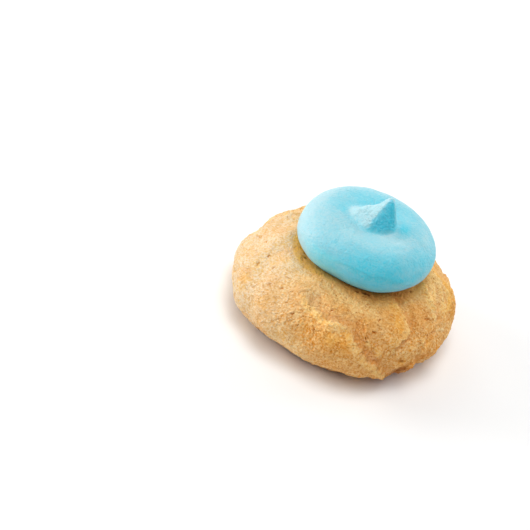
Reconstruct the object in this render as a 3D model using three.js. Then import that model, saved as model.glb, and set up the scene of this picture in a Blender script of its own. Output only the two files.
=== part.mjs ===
// Iced thumbprint cookie: a round of baked dough with a thumb-pressed hollow in its top, and one dollop
// of set icing that fills the hollow, bulges over its rim and ends in a pulled peak.
// Millimetres, +Z up. The origin is the middle of the flat base, and -Y is the side with the long fold.
import * as THREE from "three";

const DEG = Math.PI / 180;

// ---- driving dimensions -------------------------------------------------------------------------
// The dough's profile, from the base's edge round the widest ring to the rim of the hollow.
const WIDE_RADIUS = 26.0; // the widest ring
const WIDE_HEIGHT = 7.3; // its height over the base
const BASE_RADIUS = 19.6; // the flat that it rests on
const EDGE_ANGLE = 65; // how far under the widest ring the side curls in, in degrees
const RIM_RADIUS = 11.2; // the rim of the thumbprint
const RIM_HEIGHT = 17.9;
const DOME_ROUND = 0.85; // superellipse powers of the side over the widest ring
const DOME_RISE = 0.95;
const PRINT_FLOOR = 14.8; // height of the thumbprint's floor
const LIP_RADIUS = 13.5; // the dough pushed up round the thumbprint
const LIP_HEIGHT = 0.55;
const LIP_WIDTH = 1.7;
// The outline's unevenness: [lobes, share of the radius, direction in radians].
const WIDE_LOBES = [
  [1, -0.024, 0.85],
  [2, 0.02, 1.31],
  [5, 0.006, 0.4],
  [7, 0.005, 2.1],
];
const BASE_LOBES = [
  [1, -0.019, -1.29],
  [3, 0.012, 0.9],
  [6, 0.01, 2.6],
  [9, 0.008, 0.3],
];
// The icing.
const SEAT_SHARE = 0.755; // where its underside leaves the dough, as a share of its radius
const SEAT_GAP = 0.3; // between its underside and the dough
const ICING_RADIUS_X = 15.95;
const ICING_RADIUS_Y = 16.15;
const ICING_CENTRE = [0.2, -0.03];
const ICING_WIDE_HEIGHT = 23.5;
const ICING_SAG = 7.5; // how deep its rounded underside would reach below the widest ring
const ICING_ROUND = 0.8; // superellipse power of the underside
const CREST_RADIUS = 9.6; // the rounded rim round the dished top
const CREST_HEIGHT = 28.4;
const DISH_HEIGHT = 27.5;
const ICING_LOBES = [
  [2, 0.006, 0.7],
  [3, 0.022, -1.31],
  [5, 0.004, 1.0],
];
// Places where it spread less or more: [direction in degrees, share of the radius, width in degrees].
const ICING_UNEVEN = [
  [-107, -0.068, 21],
  [-64, 0.02, 10],
  [-47, 0.01, 8],
  [88, -0.018, 30],
  [174, -0.014, 12],
  [30, 0.018, 26],
];
// The pulled peak.
const PEAK_AT = [2.1, 0.4]; // the tip's place, from the icing's centre
const PEAK_HEIGHT = 7.9; // over the dish
const PEAK_TIP_RADIUS = 0.9;
// How far its foot reaches and how hollow its side is: [direction in degrees, reach, power].
// It is steep at the front and right, with a broad foot to the left, where the icing was drawn away.
const PEAK_FOOT = [
  [-174, 8.8, 2.3], [-161, 8.0, 2.0], [-150, 7.1, 1.7], [-142, 6.4, 1.45], [-134, 5.8, 1.2], [-125, 5.2, 1.05],
  [-116, 4.7, 1.05], [-105, 4.2, 1.1], [-90, 3.8, 1.12], [-69, 3.7, 1.12], [-45, 3.6, 1.05], [-25, 3.3, 1.0],
  [-5, 3.05, 0.95], [15, 3.1, 0.95], [40, 3.6, 1.05], [70, 4.3, 1.2], [100, 4.6, 1.25], [120, 5.0, 1.3],
  [133, 5.7, 1.45], [145, 6.6, 1.7], [155, 7.5, 2.0], [166, 8.3, 2.3], [177, 8.8, 2.4],
];
const FOOT_SOFT = 0.075; // how softly the foot runs out into the dish
const FOOT_STEP = 2; // the foot is evened out over neighbours this far apart, in degrees,
const FOOT_EVEN = 5.5; // weighted by a bell of this many steps
const FLARE_DIRECTION = -4; // a thin spread foot at its right
const FLARE_WIDTH = 42;
const FLARE_HEIGHT = 0.9;
const RIDGE_DIRECTION = 176; // a lump on the ridge that runs down to its left
const RIDGE_AT = 5.0; // from the tip
const RIDGE_HEIGHT = 1.7;
const RIDGE_LENGTH = 2.3;
const RIDGE_WIDTH = 1.8;
// Mesh steps.
const DOUGH_TURN = 82;
const DOUGH_SIDE = 26;
const ICING_TURN = 64;
const PEAK_RINGS = 16;

// ---- small helpers ------------------------------------------------------------------------------
const smooth = (x) => {
  const c = Math.min(1, Math.max(0, x));
  return c * c * (3 - 2 * c);
};
const lobes = (list, turn) =>
  list.reduce((sum, [n, share, at]) => sum + share * Math.cos(n * turn - at), 1);
const bell = (x, width) => Math.exp(-((x / width) ** 2));
const angleFrom = (turn, degrees) => {
  const d = turn / DEG - degrees;
  return ((((d + 180) % 360) + 360) % 360) - 180;
};

// ---- the dough ----------------------------------------------------------------------------------
const lip = (r) => LIP_HEIGHT * bell(r - LIP_RADIUS, LIP_WIDTH);

// A point of the side. level runs from -1 at the base's edge, past 0 at the widest ring, to 1 at the rim.
function side(turn, level) {
  const wide = WIDE_RADIUS * lobes(WIDE_LOBES, turn);
  const base = BASE_RADIUS * lobes(BASE_LOBES, turn);
  let r, z;
  if (level < 0) {
    const start = -EDGE_ANGLE * DEG;
    const a = -level * start;
    r = base + ((wide - base) * (Math.cos(a) - Math.cos(start))) / (1 - Math.cos(start));
    z = WIDE_HEIGHT * (1 - Math.sin(a) / Math.sin(start));
  } else {
    const b = Math.min(level, 1) * 90 * DEG;
    r = RIM_RADIUS + (wide - RIM_RADIUS) * Math.pow(Math.max(0, Math.cos(b)), DOME_ROUND);
    z = WIDE_HEIGHT + (RIM_HEIGHT - WIDE_HEIGHT) * Math.pow(Math.sin(b), DOME_RISE) + lip(r);
  }
  return new THREE.Vector3(r * Math.cos(turn), r * Math.sin(turn), z);
}

function sideNormal(turn, level) {
  const h = 1e-3;
  const along = side(turn + h, level).sub(side(turn - h, level));
  const lo = Math.max(-1, level - 0.02),
    hi = Math.min(1, level + 0.02);
  const up = side(turn, hi).sub(side(turn, lo));
  return along.cross(up).normalize();
}

// The folds in the dough, each along a line of [direction in degrees, level].
// rise is the crest's height, left and right how gently it falls away, and drop and reach shape the furrow on its right.
const FOLDS = [
  // the long torn ridge, its upper and lower parts
  {
    line: [[-118, 0.66], [-110, 0.58], [-104, 0.53], [-97.6, 0.49], [-94.6, 0.47], [-89.4, 0.47], [-84.3, 0.46], [-79.3, 0.42], [-75, 0.34]],
    rise: 0.55, left: 3.4, right: 1.6, drop: 0.5, reach: 2.4, spread: 1.9,
  },
  {
    line: [[-81, 0.44], [-77.3, 0.34], [-72.5, 0.21], [-69.2, 0.15], [-65.2, 0.05], [-61.6, -0.02], [-55.2, -0.28], [-51, -0.6]],
    rise: 0.75, left: 3.0, right: 1.5, drop: 0.55, reach: 2.0, spread: 1.8,
  },
  {
    line: [[-71, 0.47], [-69.8, 0.42], [-65.1, 0.31], [-60.4, 0.22], [-54.8, 0.03], [-52, -0.15]],
    rise: 0.2, left: 1.8, right: 1.5, drop: 0.2, reach: 1.6, spread: 1.5,
  },
  // the second ridge
  {
    line: [[-54, 0.97], [-49, 0.92], [-44.5, 0.84], [-43.4, 0.73], [-43.9, 0.64], [-43.1, 0.55], [-44, 0.47], [-48.1, 0.4], [-52.6, 0.31], [-55, 0.2]],
    rise: 0.55, left: 3.2, right: 1.5, drop: 0.5, reach: 1.9, spread: 1.6,
  },
  // the terrace at the outer edge, and a shallow step beside it
  {
    line: [[16, 0.78], [9, 0.68], [6.1, 0.56], [5, 0.47], [0.4, 0.4], [-8.3, 0.38], [-11.5, 0.31], [-16, 0.22]],
    rise: 0.34, left: 1.7, right: 1.5, drop: 0.34, reach: 1.9, spread: 1.6,
  },
  {
    line: [[-14, 0.52], [-17, 0.45], [-23.4, 0.38], [-28.9, 0.33], [-32.6, 0.28], [-38, 0.16]],
    rise: 0.12, left: 1.6, right: 1.4, drop: 0.34, reach: 1.2, spread: 1.4,
  },
  // the far sides
  { line: [[48, 0.7], [60, 0.5], [72, 0.42], [84, 0.2]], rise: 0.5, left: 2.6, right: 1.5, drop: 0.5, reach: 2.0, spread: 1.6 },
  { line: [[64, 0.8], [70, 0.7], [80, 0.62], [86, 0.5]], rise: 0.25, left: 1.6, right: 1.4, drop: 0.2, reach: 1.6, spread: 1.4 },
  { line: [[96, 0.8], [106, 0.56], [112, 0.34], [124, 0.1]], rise: 0.45, left: 2.4, right: 1.5, drop: 0.45, reach: 2.0, spread: 1.6 },
  { line: [[135, 0.6], [146, 0.52], [156, 0.36], [170, 0.3]], rise: 0.25, left: 2.0, right: 1.5, drop: 0.25, reach: 1.8, spread: 1.5 },
  { line: [[100, 0.3], [108, 0.1], [114, -0.1], [126, -0.3]], rise: 0.3, left: 2.0, right: 1.5, drop: 0.3, reach: 1.8, spread: 1.5 },
  { line: [[20, 0.3], [30, 0.24], [42, 0.1], [50, -0.1]], rise: 0.35, left: 1.9, right: 1.5, drop: 0.3, reach: 1.8, spread: 1.5 },
];

// Knobs and hollows: [direction, level, rise, width].
const KNOBS = [
  [-20, 0.02, 0.75, 2.6],
  [-24, -0.02, 0.3, 1.9],
  [-37, -0.45, 0.7, 2.6],
  [-35, -0.02, -0.9, 1.9],
  [-32, -0.3, -1.0, 1.9],
  [-29, -0.55, -1.4, 2.0],
  [-44.5, -0.3, -0.3, 1.8],
  [-52, -0.35, 0.9, 2.2],
  [-144, -0.1, 0.6, 3.4],
  [-158, 0.12, 0.5, 3.0],
  [-172, 0.2, 0.1, 3.2],
  [-108, -0.62, -1.1, 5.0],
  [-91, -0.65, -0.5, 2.8],
  [-1, 0.16, -1.2, 3.2],
  [12, 0.45, 0.4, 2.0],
  [-114, -0.5, -0.45, 2.4],
  [34, 0.52, -1.15, 4.2],
  [166, 0.38, -1.1, 5.2],
  [62, 0.25, 0.7, 5.0],
  [98, 0.05, -0.7, 3.2],
  [121, 0.3, 0.6, 4.4],
  [158, -0.3, 0.5, 4.0],
];

const FOLD_STEPS = 8;
const foldCurves = FOLDS.map((fold) => {
  const curve = new THREE.CatmullRomCurve3(
    fold.line.map(([direction, level]) => new THREE.Vector3(direction, level, 0)),
    false,
    "catmullrom",
    0.5,
  );
  return curve
    .getPoints(FOLD_STEPS * (fold.line.length - 1))
    .map((p) => side(p.x * DEG, Math.max(-1, Math.min(1, p.y))));
});
const knobCentres = KNOBS.map(([direction, level]) => side(direction * DEG, level));

function foldRelief(point, normal) {
  let sum = 0;
  FOLDS.forEach((fold, i) => {
    const line = foldCurves[i];
    let best = Infinity,
      signed = 0,
      along = 0;
    for (let k = 0; k + 1 < line.length; k++) {
      const d = line[k + 1].clone().sub(line[k]);
      const w = point.clone().sub(line[k]);
      const t = Math.min(1, Math.max(0, w.dot(d) / d.lengthSq()));
      const off = w.clone().addScaledVector(d, -t);
      const far = off.length();
      if (far < best) {
        best = far;
        signed = Math.sign(d.clone().cross(off).dot(normal)) * far; // above the line, towards the furrow, is positive
        along = (k + t) / (line.length - 1);
      }
    }
    const ends = smooth(along / 0.18) * smooth((1 - along) / 0.12);
    const crest = fold.rise * bell(signed, signed < 0 ? fold.left : fold.right);
    const furrow = fold.drop * bell(signed - fold.reach, fold.spread);
    sum += ends * (crest - (signed > 0 ? furrow : 0) * smooth(signed / fold.right));
  });
  return sum;
}

function relief(turn, level) {
  const point = side(turn, level);
  const normal = sideNormal(turn, level);
  let sum = foldRelief(point, normal);
  KNOBS.forEach(([, , rise, width], i) => {
    sum += rise * bell(point.distanceTo(knobCentres[i]), width);
  });
  const { x, y, z } = point;
  sum += 0.22 * Math.sin(0.33 * x + 0.21 * y + 0.4 * z + 1.3);
  sum += 0.2 * Math.sin(-0.25 * x + 0.42 * y - 0.3 * z + 4.1);
  sum += 0.16 * Math.sin(0.61 * x - 0.47 * y + 0.52 * z + 2.2);
  sum += 0.12 * Math.sin(0.74 * x + 0.68 * y - 0.6 * z + 0.5);
  return sum * smooth((0.9 - level) / 0.22);
}

function doughPoint(turn, level) {
  const point = side(turn, level);
  const normal = sideNormal(turn, level);
  normal.z *= smooth((level + 1) / 0.35); // the base's edge moves in its own plane, so the base stays flat
  return point.addScaledVector(normal, relief(turn, level));
}

// The top inside the rim: the pressed hollow, and past it the start of the dome.
function topHeight(r, turn) {
  if (r <= RIM_RADIUS) {
    const share = Math.pow(r / RIM_RADIUS, 1.2);
    return PRINT_FLOOR + ((RIM_HEIGHT - PRINT_FLOOR) * (1 - Math.cos(Math.PI * share))) / 2 + lip(r);
  }
  const wide = WIDE_RADIUS * lobes(WIDE_LOBES, turn);
  const b = Math.acos(Math.min(1, Math.pow((r - RIM_RADIUS) / (wide - RIM_RADIUS), 1 / DOME_ROUND)));
  return WIDE_HEIGHT + (RIM_HEIGHT - WIDE_HEIGHT) * Math.pow(Math.sin(b), DOME_RISE) + lip(r);
}

// ---- the icing ----------------------------------------------------------------------------------
function icingRadius(turn) {
  const c = Math.cos(turn) / ICING_RADIUS_X,
    s = Math.sin(turn) / ICING_RADIUS_Y;
  return ICING_UNEVEN.reduce(
    (r, [at, share, width]) => r * (1 + share * bell(angleFrom(turn, at), width)),
    lobes(ICING_LOBES, turn) / Math.hypot(c, s),
  );
}

const aboutIcing = (r, turn, z) =>
  new THREE.Vector3(ICING_CENTRE[0] + r * Math.cos(turn), ICING_CENTRE[1] + r * Math.sin(turn), z);

function icingFloor(share, turn) {
  const p = aboutIcing(share * SEAT_SHARE * icingRadius(turn), turn, 0);
  p.z = topHeight(Math.hypot(p.x, p.y), Math.atan2(p.y, p.x)) + SEAT_GAP;
  return p;
}

function icingUnder(share, turn) {
  const seat = Math.acos(Math.pow(SEAT_SHARE, 1 / ICING_ROUND));
  const a = seat * (1 - share);
  const r = icingRadius(turn) * Math.pow(Math.cos(a), ICING_ROUND);
  const fall = Math.sin(a) / Math.sin(seat);
  const foot = icingFloor(1, turn).z - (ICING_WIDE_HEIGHT - ICING_SAG * Math.sin(seat));
  return aboutIcing(r, turn, ICING_WIDE_HEIGHT - ICING_SAG * Math.sin(a) + foot * fall ** 6);
}

function icingOver(share, turn) {
  const b = share * 90 * DEG;
  const r = CREST_RADIUS + (icingRadius(turn) - CREST_RADIUS) * Math.pow(Math.max(0, Math.cos(b)), 0.92);
  return aboutIcing(r, turn, ICING_WIDE_HEIGHT + (CREST_HEIGHT - ICING_WIDE_HEIGHT) * Math.sin(b));
}

// One value of the peak's foot table at a direction, straight between its entries round the full turn.
function footEntry(column, degrees) {
  const past = (from, to) => (((to - from) % 360) + 360) % 360;
  for (let i = 0; i < PEAK_FOOT.length; i++) {
    const here = PEAK_FOOT[i],
      next = PEAK_FOOT[(i + 1) % PEAK_FOOT.length];
    const share = past(here[0], degrees) / past(here[0], next[0]);
    if (share <= 1) return here[column] + (next[column] - here[column]) * share;
  }
  return PEAK_FOOT[0][column];
}

function footAt(column, degrees) {
  let sum = 0,
    total = 0;
  for (let i = -16; i <= 16; i++) {
    const weight = bell(i, FOOT_EVEN);
    sum += weight * footEntry(column, degrees + i * FOOT_STEP);
    total += weight;
  }
  return sum / total;
}

// The icing's top inside the crest: a shallow dish, with the peak standing in it.
const dishHeight = (x, y) =>
  DISH_HEIGHT + (CREST_HEIGHT - DISH_HEIGHT) * smooth(Math.hypot(x - ICING_CENTRE[0], y - ICING_CENTRE[1]) / CREST_RADIUS);

function peakHeight(x, y) {
  const dx = x - ICING_CENTRE[0] - PEAK_AT[0],
    dy = y - ICING_CENTRE[1] - PEAK_AT[1];
  const turn = Math.atan2(dy, dx);
  const blunt = (d) => Math.cbrt(d ** 3 + PEAK_TIP_RADIUS ** 3) - PEAK_TIP_RADIUS;
  const away = blunt(Math.hypot(dx, dy));
  const left = 1 - away / blunt(footAt(1, turn / DEG));
  const peak = PEAK_HEIGHT * Math.pow(FOOT_SOFT * Math.log1p(Math.exp(left / FOOT_SOFT)), footAt(2, turn / DEG));
  const c = Math.cos(RIDGE_DIRECTION * DEG),
    d = Math.sin(RIDGE_DIRECTION * DEG);
  const ridge = RIDGE_HEIGHT * bell(dx * c + dy * d - RIDGE_AT, RIDGE_LENGTH) * bell(dy * c - dx * d, RIDGE_WIDTH);
  const flare = FLARE_HEIGHT * bell(angleFrom(turn, FLARE_DIRECTION), FLARE_WIDTH);
  return peak + ridge + flare * smooth(away / 3) * smooth((6.2 - away) / 3);
}

// From the crest in to the tip, on rings about the tip; share 0 is the crest, 1 the tip.
function icingTop(share, turn) {
  const edge = aboutIcing(CREST_RADIUS, turn, 0);
  const tipX = ICING_CENTRE[0] + PEAK_AT[0],
    tipY = ICING_CENTRE[1] + PEAK_AT[1];
  const t = 1 - share ** 0.85;
  const x = tipX + (edge.x - tipX) * t,
    y = tipY + (edge.y - tipY) * t;
  return new THREE.Vector3(x, y, dishHeight(x, y) + peakHeight(x, y));
}

// ---- closed bodies of rings ---------------------------------------------------------------------
// rings run from the middle of the underside outwards, up and in to the middle of the top; first and last are the two middles.
function closedBody(rings, first, last) {
  const turns = rings[0].length;
  const points = [first, ...rings.flat(), last];
  const index = [];
  const at = (ring, i) => 1 + ring * turns + ((i + turns) % turns);
  for (let i = 0; i < turns; i++) {
    index.push(0, at(0, i + 1), at(0, i));
    for (let ring = 0; ring + 1 < rings.length; ring++) {
      index.push(at(ring, i), at(ring, i + 1), at(ring + 1, i + 1));
      index.push(at(ring, i), at(ring + 1, i + 1), at(ring + 1, i));
    }
    index.push(points.length - 1, at(rings.length - 1, i), at(rings.length - 1, i + 1));
  }
  const geometry = new THREE.BufferGeometry().setFromPoints(points);
  geometry.setIndex(index);
  geometry.computeVertexNormals();
  return geometry;
}

const ringOf = (turns, pointAt) =>
  Array.from({ length: turns }, (_, i) => pointAt((i / turns) * 2 * Math.PI));

function doughGeometry() {
  const rings = [];
  const edge = (turn) => doughPoint(turn, -1);
  for (const share of [0.4, 0.75])
    rings.push(ringOf(DOUGH_TURN, (turn) => edge(turn).multiplyScalar(share).setZ(0)));
  for (let k = 0; k <= DOUGH_SIDE; k++) {
    const level = -1 + (2 * k) / DOUGH_SIDE;
    rings.push(ringOf(DOUGH_TURN, (turn) => doughPoint(turn, level)));
  }
  for (const share of [0.8, 0.55, 0.28]) {
    const r = share * RIM_RADIUS;
    rings.push(ringOf(DOUGH_TURN, (turn) => new THREE.Vector3(r * Math.cos(turn), r * Math.sin(turn), topHeight(r, turn))));
  }
  return closedBody(rings, new THREE.Vector3(0, 0, 0), new THREE.Vector3(0, 0, PRINT_FLOOR));
}

function icingGeometry() {
  const rings = [];
  for (const share of [0.26, 0.52, 0.76, 0.9, 1]) rings.push(ringOf(ICING_TURN, (turn) => icingFloor(share, turn)));
  for (let k = 1; k <= 6; k++) rings.push(ringOf(ICING_TURN, (turn) => icingUnder(k / 6, turn)));
  for (let k = 1; k <= 6; k++) rings.push(ringOf(ICING_TURN, (turn) => icingOver(k / 6, turn)));
  for (let k = 1; k <= PEAK_RINGS; k++) rings.push(ringOf(ICING_TURN, (turn) => icingTop(k / (PEAK_RINGS + 1), turn)));
  const floor = aboutIcing(0, 0, 0);
  floor.z = topHeight(Math.hypot(floor.x, floor.y), 0) + SEAT_GAP;
  return closedBody(rings, floor, icingTop(1, 0));
}

// ---- the object ---------------------------------------------------------------------------------
const cookie = new THREE.Group();

const dough = new THREE.Mesh(
  doughGeometry(),
  new THREE.MeshStandardMaterial({ color: 0xdcb274, roughness: 0.9, metalness: 0 }),
);
dough.name = "dough";

const icing = new THREE.Mesh(
  icingGeometry(),
  new THREE.MeshStandardMaterial({ color: 0x7fd3e6, roughness: 0.5, metalness: 0 }),
);
icing.name = "icing";

cookie.add(dough, icing);

// The origin is the middle of the base of the box round both pieces.
const box = new THREE.Box3().setFromObject(cookie, true);
cookie.position.set(-(box.min.x + box.max.x) / 2, -(box.min.y + box.max.y) / 2, -box.min.z);

export default cookie;
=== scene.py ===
# Looks of the iced thumbprint cookie: the baked dough and its dollop of set blue icing, as dense meshes
# with procedural materials, on a pale floor in soft studio light. Shapes are worked out in millimetres
# and turned into metres when a mesh is made.
import math
import bpy
import numpy as np
from mathutils import Matrix, Vector


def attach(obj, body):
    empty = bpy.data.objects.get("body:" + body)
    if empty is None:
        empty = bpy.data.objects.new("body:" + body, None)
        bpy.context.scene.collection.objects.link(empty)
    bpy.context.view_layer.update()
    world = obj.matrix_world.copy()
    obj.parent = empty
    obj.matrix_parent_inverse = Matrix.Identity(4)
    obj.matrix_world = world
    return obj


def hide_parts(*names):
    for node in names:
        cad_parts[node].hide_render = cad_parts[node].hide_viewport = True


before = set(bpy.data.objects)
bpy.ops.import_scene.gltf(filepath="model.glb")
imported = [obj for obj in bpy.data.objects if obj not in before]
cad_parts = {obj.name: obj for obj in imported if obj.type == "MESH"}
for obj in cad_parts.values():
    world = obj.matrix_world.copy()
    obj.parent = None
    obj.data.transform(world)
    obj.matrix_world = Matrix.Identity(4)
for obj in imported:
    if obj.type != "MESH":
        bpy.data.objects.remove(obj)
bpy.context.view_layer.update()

PI = math.pi
MM = 0.001

# ---------------------------------------------------------------- driving dimensions, as in the CAD
WIDE_RADIUS = 26.0
WIDE_HEIGHT = 7.3
BASE_RADIUS = 19.6
EDGE_ANGLE = math.radians(65)
RIM_RADIUS = 11.2
RIM_HEIGHT = 17.9
DOME_ROUND = 0.85
DOME_RISE = 0.95
PRINT_FLOOR = 14.8
LIP_RADIUS, LIP_HEIGHT, LIP_WIDTH = 13.5, 0.55, 1.7
WIDE_LOBES = [(1, -0.024, 0.85), (2, 0.02, 1.31), (5, 0.006, 0.4), (7, 0.005, 2.1)]
BASE_LOBES = [(1, -0.019, -1.29), (3, 0.012, 0.9), (6, 0.01, 2.6), (9, 0.008, 0.3)]

ICING_RADIUS_X, ICING_RADIUS_Y = 15.95, 16.15
ICING_CENTRE = (0.2, -0.03)
ICING_WIDE_HEIGHT = 23.5
ICING_SAG, ICING_ROUND, SEAT_SHARE = 7.5, 0.8, 0.755
CREST_RADIUS, CREST_HEIGHT, DISH_HEIGHT = 9.6, 28.4, 27.5
ICING_LOBES = [(2, 0.006, 0.7), (3, 0.022, -1.31), (5, 0.004, 1.0)]
# Places where it spread less or more: direction, share of the radius, width in degrees.
ICING_UNEVEN = [(-107, -0.068, 21), (-64, 0.02, 10), (-47, 0.01, 8), (88, -0.018, 30), (174, -0.014, 12), (30, 0.018, 26)]
PEAK_AT = (2.1, 0.4)  # the tip's place
PEAK_HEIGHT = 7.9  # over the dish
PEAK_TIP_RADIUS = 0.9
# How far the peak's foot reaches and how hollow its side is: direction in degrees, reach, power.
# Steep at the front and right, with a broad foot to the left where the bag was drawn away.
PEAK_FOOT = [(-174, 8.8, 2.3), (-161, 8.0, 2.0), (-150, 7.1, 1.7), (-142, 6.4, 1.45), (-134, 5.8, 1.2), (-125, 5.2, 1.05), (-116, 4.7, 1.05),
             (-105, 4.2, 1.1), (-90, 3.8, 1.12), (-69, 3.7, 1.12), (-45, 3.6, 1.05), (-25, 3.3, 1.0), (-5, 3.05, 0.95), (15, 3.1, 0.95),
             (40, 3.6, 1.05), (70, 4.3, 1.2), (100, 4.6, 1.25), (120, 5.0, 1.3), (133, 5.7, 1.45), (145, 6.6, 1.7), (155, 7.5, 2.0), (166, 8.3, 2.3),
             (177, 8.8, 2.4)]
FOOT_SOFT = 0.075  # how gently the foot runs out, as a share of its reach
# The ridge left by the bag to the peak's left: direction, distance from the tip, height, half-lengths and half-width.
RIDGE_TURN, RIDGE_AT, RIDGE_HIGH = 176, 5.0, 1.7
RIDGE_IN, RIDGE_OUT, RIDGE_WIDE = 2.3, 2.3, 1.8
FLARE_TURN, FLARE_HIGH = -4, 0.9  # the thin spread foot at its right
# The step low on the front: direction and height along it.
STEP_LINE = [(-112, 24.2), (-106, 24.5), (-92, 24.7), (-76, 24.9), (-64, 24.8), (-54, 24.2), (-39, 22.8), (-28, 21.6)]

# The model's own middle lies this far from the frame's: the box round the CAD pieces is centred.
CAD_SHIFT = (0.5962, 0.4672)


# ---------------------------------------------------------------- small helpers
def smooth(x):
    x = np.clip(x, 0.0, 1.0)
    return x * x * (3 - 2 * x)


def bell(x, width):
    return np.exp(-((x / width) ** 2))


def lobes(table, turn):
    s = np.ones_like(turn)
    for n, share, at in table:
        s = s + share * np.cos(n * turn - at)
    return s


def unit(v):
    return v / (np.linalg.norm(v, axis=-1, keepdims=True) + 1e-12)


# ---------------------------------------------------------------- seeded noise
_M = np.uint64(0xFFFFFFFF)


def _hash(i, j, k, seed):
    h = (
        i.astype(np.int64) * 374761393
        + j.astype(np.int64) * 668265263
        + k.astype(np.int64) * 2147483629
        + seed * 1274126177
    ).astype(np.uint64) & _M
    h = ((h ^ (h >> np.uint64(13))) * np.uint64(1103515245)) & _M
    h = ((h ^ (h >> np.uint64(16))) * np.uint64(2654435761)) & _M
    return h ^ (h >> np.uint64(15))


_rng = np.random.RandomState(7)
_G = unit(_rng.normal(size=(1024, 3)))
_J = _rng.rand(1024, 4)


def grad_noise(p, seed=0):
    """Smooth noise of about -1 to 1 with features of about one unit."""
    c = np.floor(p)
    f = p - c
    c = c.astype(np.int64)
    u = f * f * f * (f * (f * 6 - 15) + 10)
    out = np.zeros(p.shape[:-1])
    for a in (0, 1):
        for b in (0, 1):
            for d in (0, 1):
                g = _G[(_hash(c[..., 0] + a, c[..., 1] + b, c[..., 2] + d, seed) % np.uint64(1024)).astype(np.int64)]
                w = (
                    (u[..., 0] if a else 1 - u[..., 0])
                    * (u[..., 1] if b else 1 - u[..., 1])
                    * (u[..., 2] if d else 1 - u[..., 2])
                )
                out += w * (
                    g[..., 0] * (f[..., 0] - a) + g[..., 1] * (f[..., 1] - b) + g[..., 2] * (f[..., 2] - d)
                )
    return out * 1.7


def fbm(p, size, octaves=3, gain=0.5, seed=0):
    s, amp, tot = 0.0, 1.0, 0.0
    q = p / size
    for o in range(octaves):
        s = s + amp * grad_noise(q + 17.3 * o, seed + 31 * o)
        tot += amp
        amp *= gain
        q = q * 2.03
    return s / tot


def cells(p, size, seed=0, jitter=1.0):
    """Distances to the nearest two scattered points, over the cell size, and the nearest one's own random number."""
    q = p / size
    c = np.floor(q).astype(np.int64)
    f = q - c
    f1 = np.full(p.shape[:-1], 9.0)
    f2 = np.full(p.shape[:-1], 9.0)
    idn = np.zeros(p.shape[:-1])
    for a in (-1, 0, 1):
        for b in (-1, 0, 1):
            for d in (-1, 0, 1):
                h = (_hash(c[..., 0] + a, c[..., 1] + b, c[..., 2] + d, seed) % np.uint64(1024)).astype(np.int64)
                r = _J[h]
                dx = a + 0.5 + jitter * (r[..., 0] - 0.5) - f[..., 0]
                dy = b + 0.5 + jitter * (r[..., 1] - 0.5) - f[..., 1]
                dz = d + 0.5 + jitter * (r[..., 2] - 0.5) - f[..., 2]
                dist = np.sqrt(dx * dx + dy * dy + dz * dz)
                near = dist < f1
                f2 = np.where(near, f1, np.minimum(f2, dist))
                idn = np.where(near, r[..., 3], idn)
                f1 = np.where(near, dist, f1)
    return f1, f2, idn


# ---------------------------------------------------------------- the dough's broad form
def lip(r):
    return LIP_HEIGHT * bell(r - LIP_RADIUS, LIP_WIDTH)


def side(turn, level):
    """Points of the side. level: -1 the base's edge, 0 the widest ring, 1 the rim of the thumbprint."""
    turn, level = np.broadcast_arrays(np.asarray(turn, float), np.asarray(level, float))
    wide = WIDE_RADIUS * lobes(WIDE_LOBES, turn)
    base = BASE_RADIUS * lobes(BASE_LOBES, turn)
    a = np.clip(level, -1, 0) * EDGE_ANGLE
    c0, s0 = math.cos(EDGE_ANGLE), math.sin(EDGE_ANGLE)
    rl = base + (wide - base) * (np.cos(a) - c0) / (1 - c0)
    zl = WIDE_HEIGHT * (1 + np.sin(a) / s0)
    b = np.clip(level, 0, 1) * PI / 2
    ru = RIM_RADIUS + (wide - RIM_RADIUS) * np.maximum(0, np.cos(b)) ** DOME_ROUND
    zu = WIDE_HEIGHT + (RIM_HEIGHT - WIDE_HEIGHT) * np.sin(b) ** DOME_RISE + lip(ru)
    r = np.where(level < 0, rl, ru)
    z = np.where(level < 0, zl, zu)
    return np.stack([r * np.cos(turn), r * np.sin(turn), z], -1)


def side_normal(turn, level):
    h = 1e-3
    along = side(turn + h, level) - side(turn - h, level)
    up = side(turn, np.minimum(level + 0.02, 1)) - side(turn, np.maximum(level - 0.02, -1))
    return unit(np.cross(along, up))


def top_height(r, turn):
    share = np.clip(r / RIM_RADIUS, 0, 1) ** 1.2
    inner = PRINT_FLOOR + (RIM_HEIGHT - PRINT_FLOOR) * (1 - np.cos(PI * share)) / 2
    wide = WIDE_RADIUS * lobes(WIDE_LOBES, turn)
    x = np.clip((r - RIM_RADIUS) / (wide - RIM_RADIUS), 0, 1) ** (1 / DOME_ROUND)
    outer = WIDE_HEIGHT + (RIM_HEIGHT - WIDE_HEIGHT) * np.sqrt(np.maximum(0, 1 - x * x)) ** DOME_RISE
    return np.where(r <= RIM_RADIUS, inner, outer) + lip(r)


def catmull(points, steps):
    p = np.asarray(points, float)
    p = np.vstack([2 * p[0] - p[1], p, 2 * p[-1] - p[-2]])
    out = []
    for i in range(1, len(p) - 2):
        for s in range(steps):
            t = s / steps
            out.append(
                0.5
                * (
                    2 * p[i]
                    + (p[i + 1] - p[i - 1]) * t
                    + (2 * p[i - 1] - 5 * p[i] + 4 * p[i + 1] - p[i + 2]) * t * t
                    + (3 * p[i] - p[i - 1] - 3 * p[i + 1] + p[i + 2]) * t**3
                )
            )
    out.append(p[-2])
    return np.array(out)


def line_on_side(line, steps=6):
    """A smooth line on the side, from control values [direction in degrees, level]."""
    c = catmull(line, steps)
    return side(np.radians(c[:, 0]), np.clip(c[:, 1], -1, 1))


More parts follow.
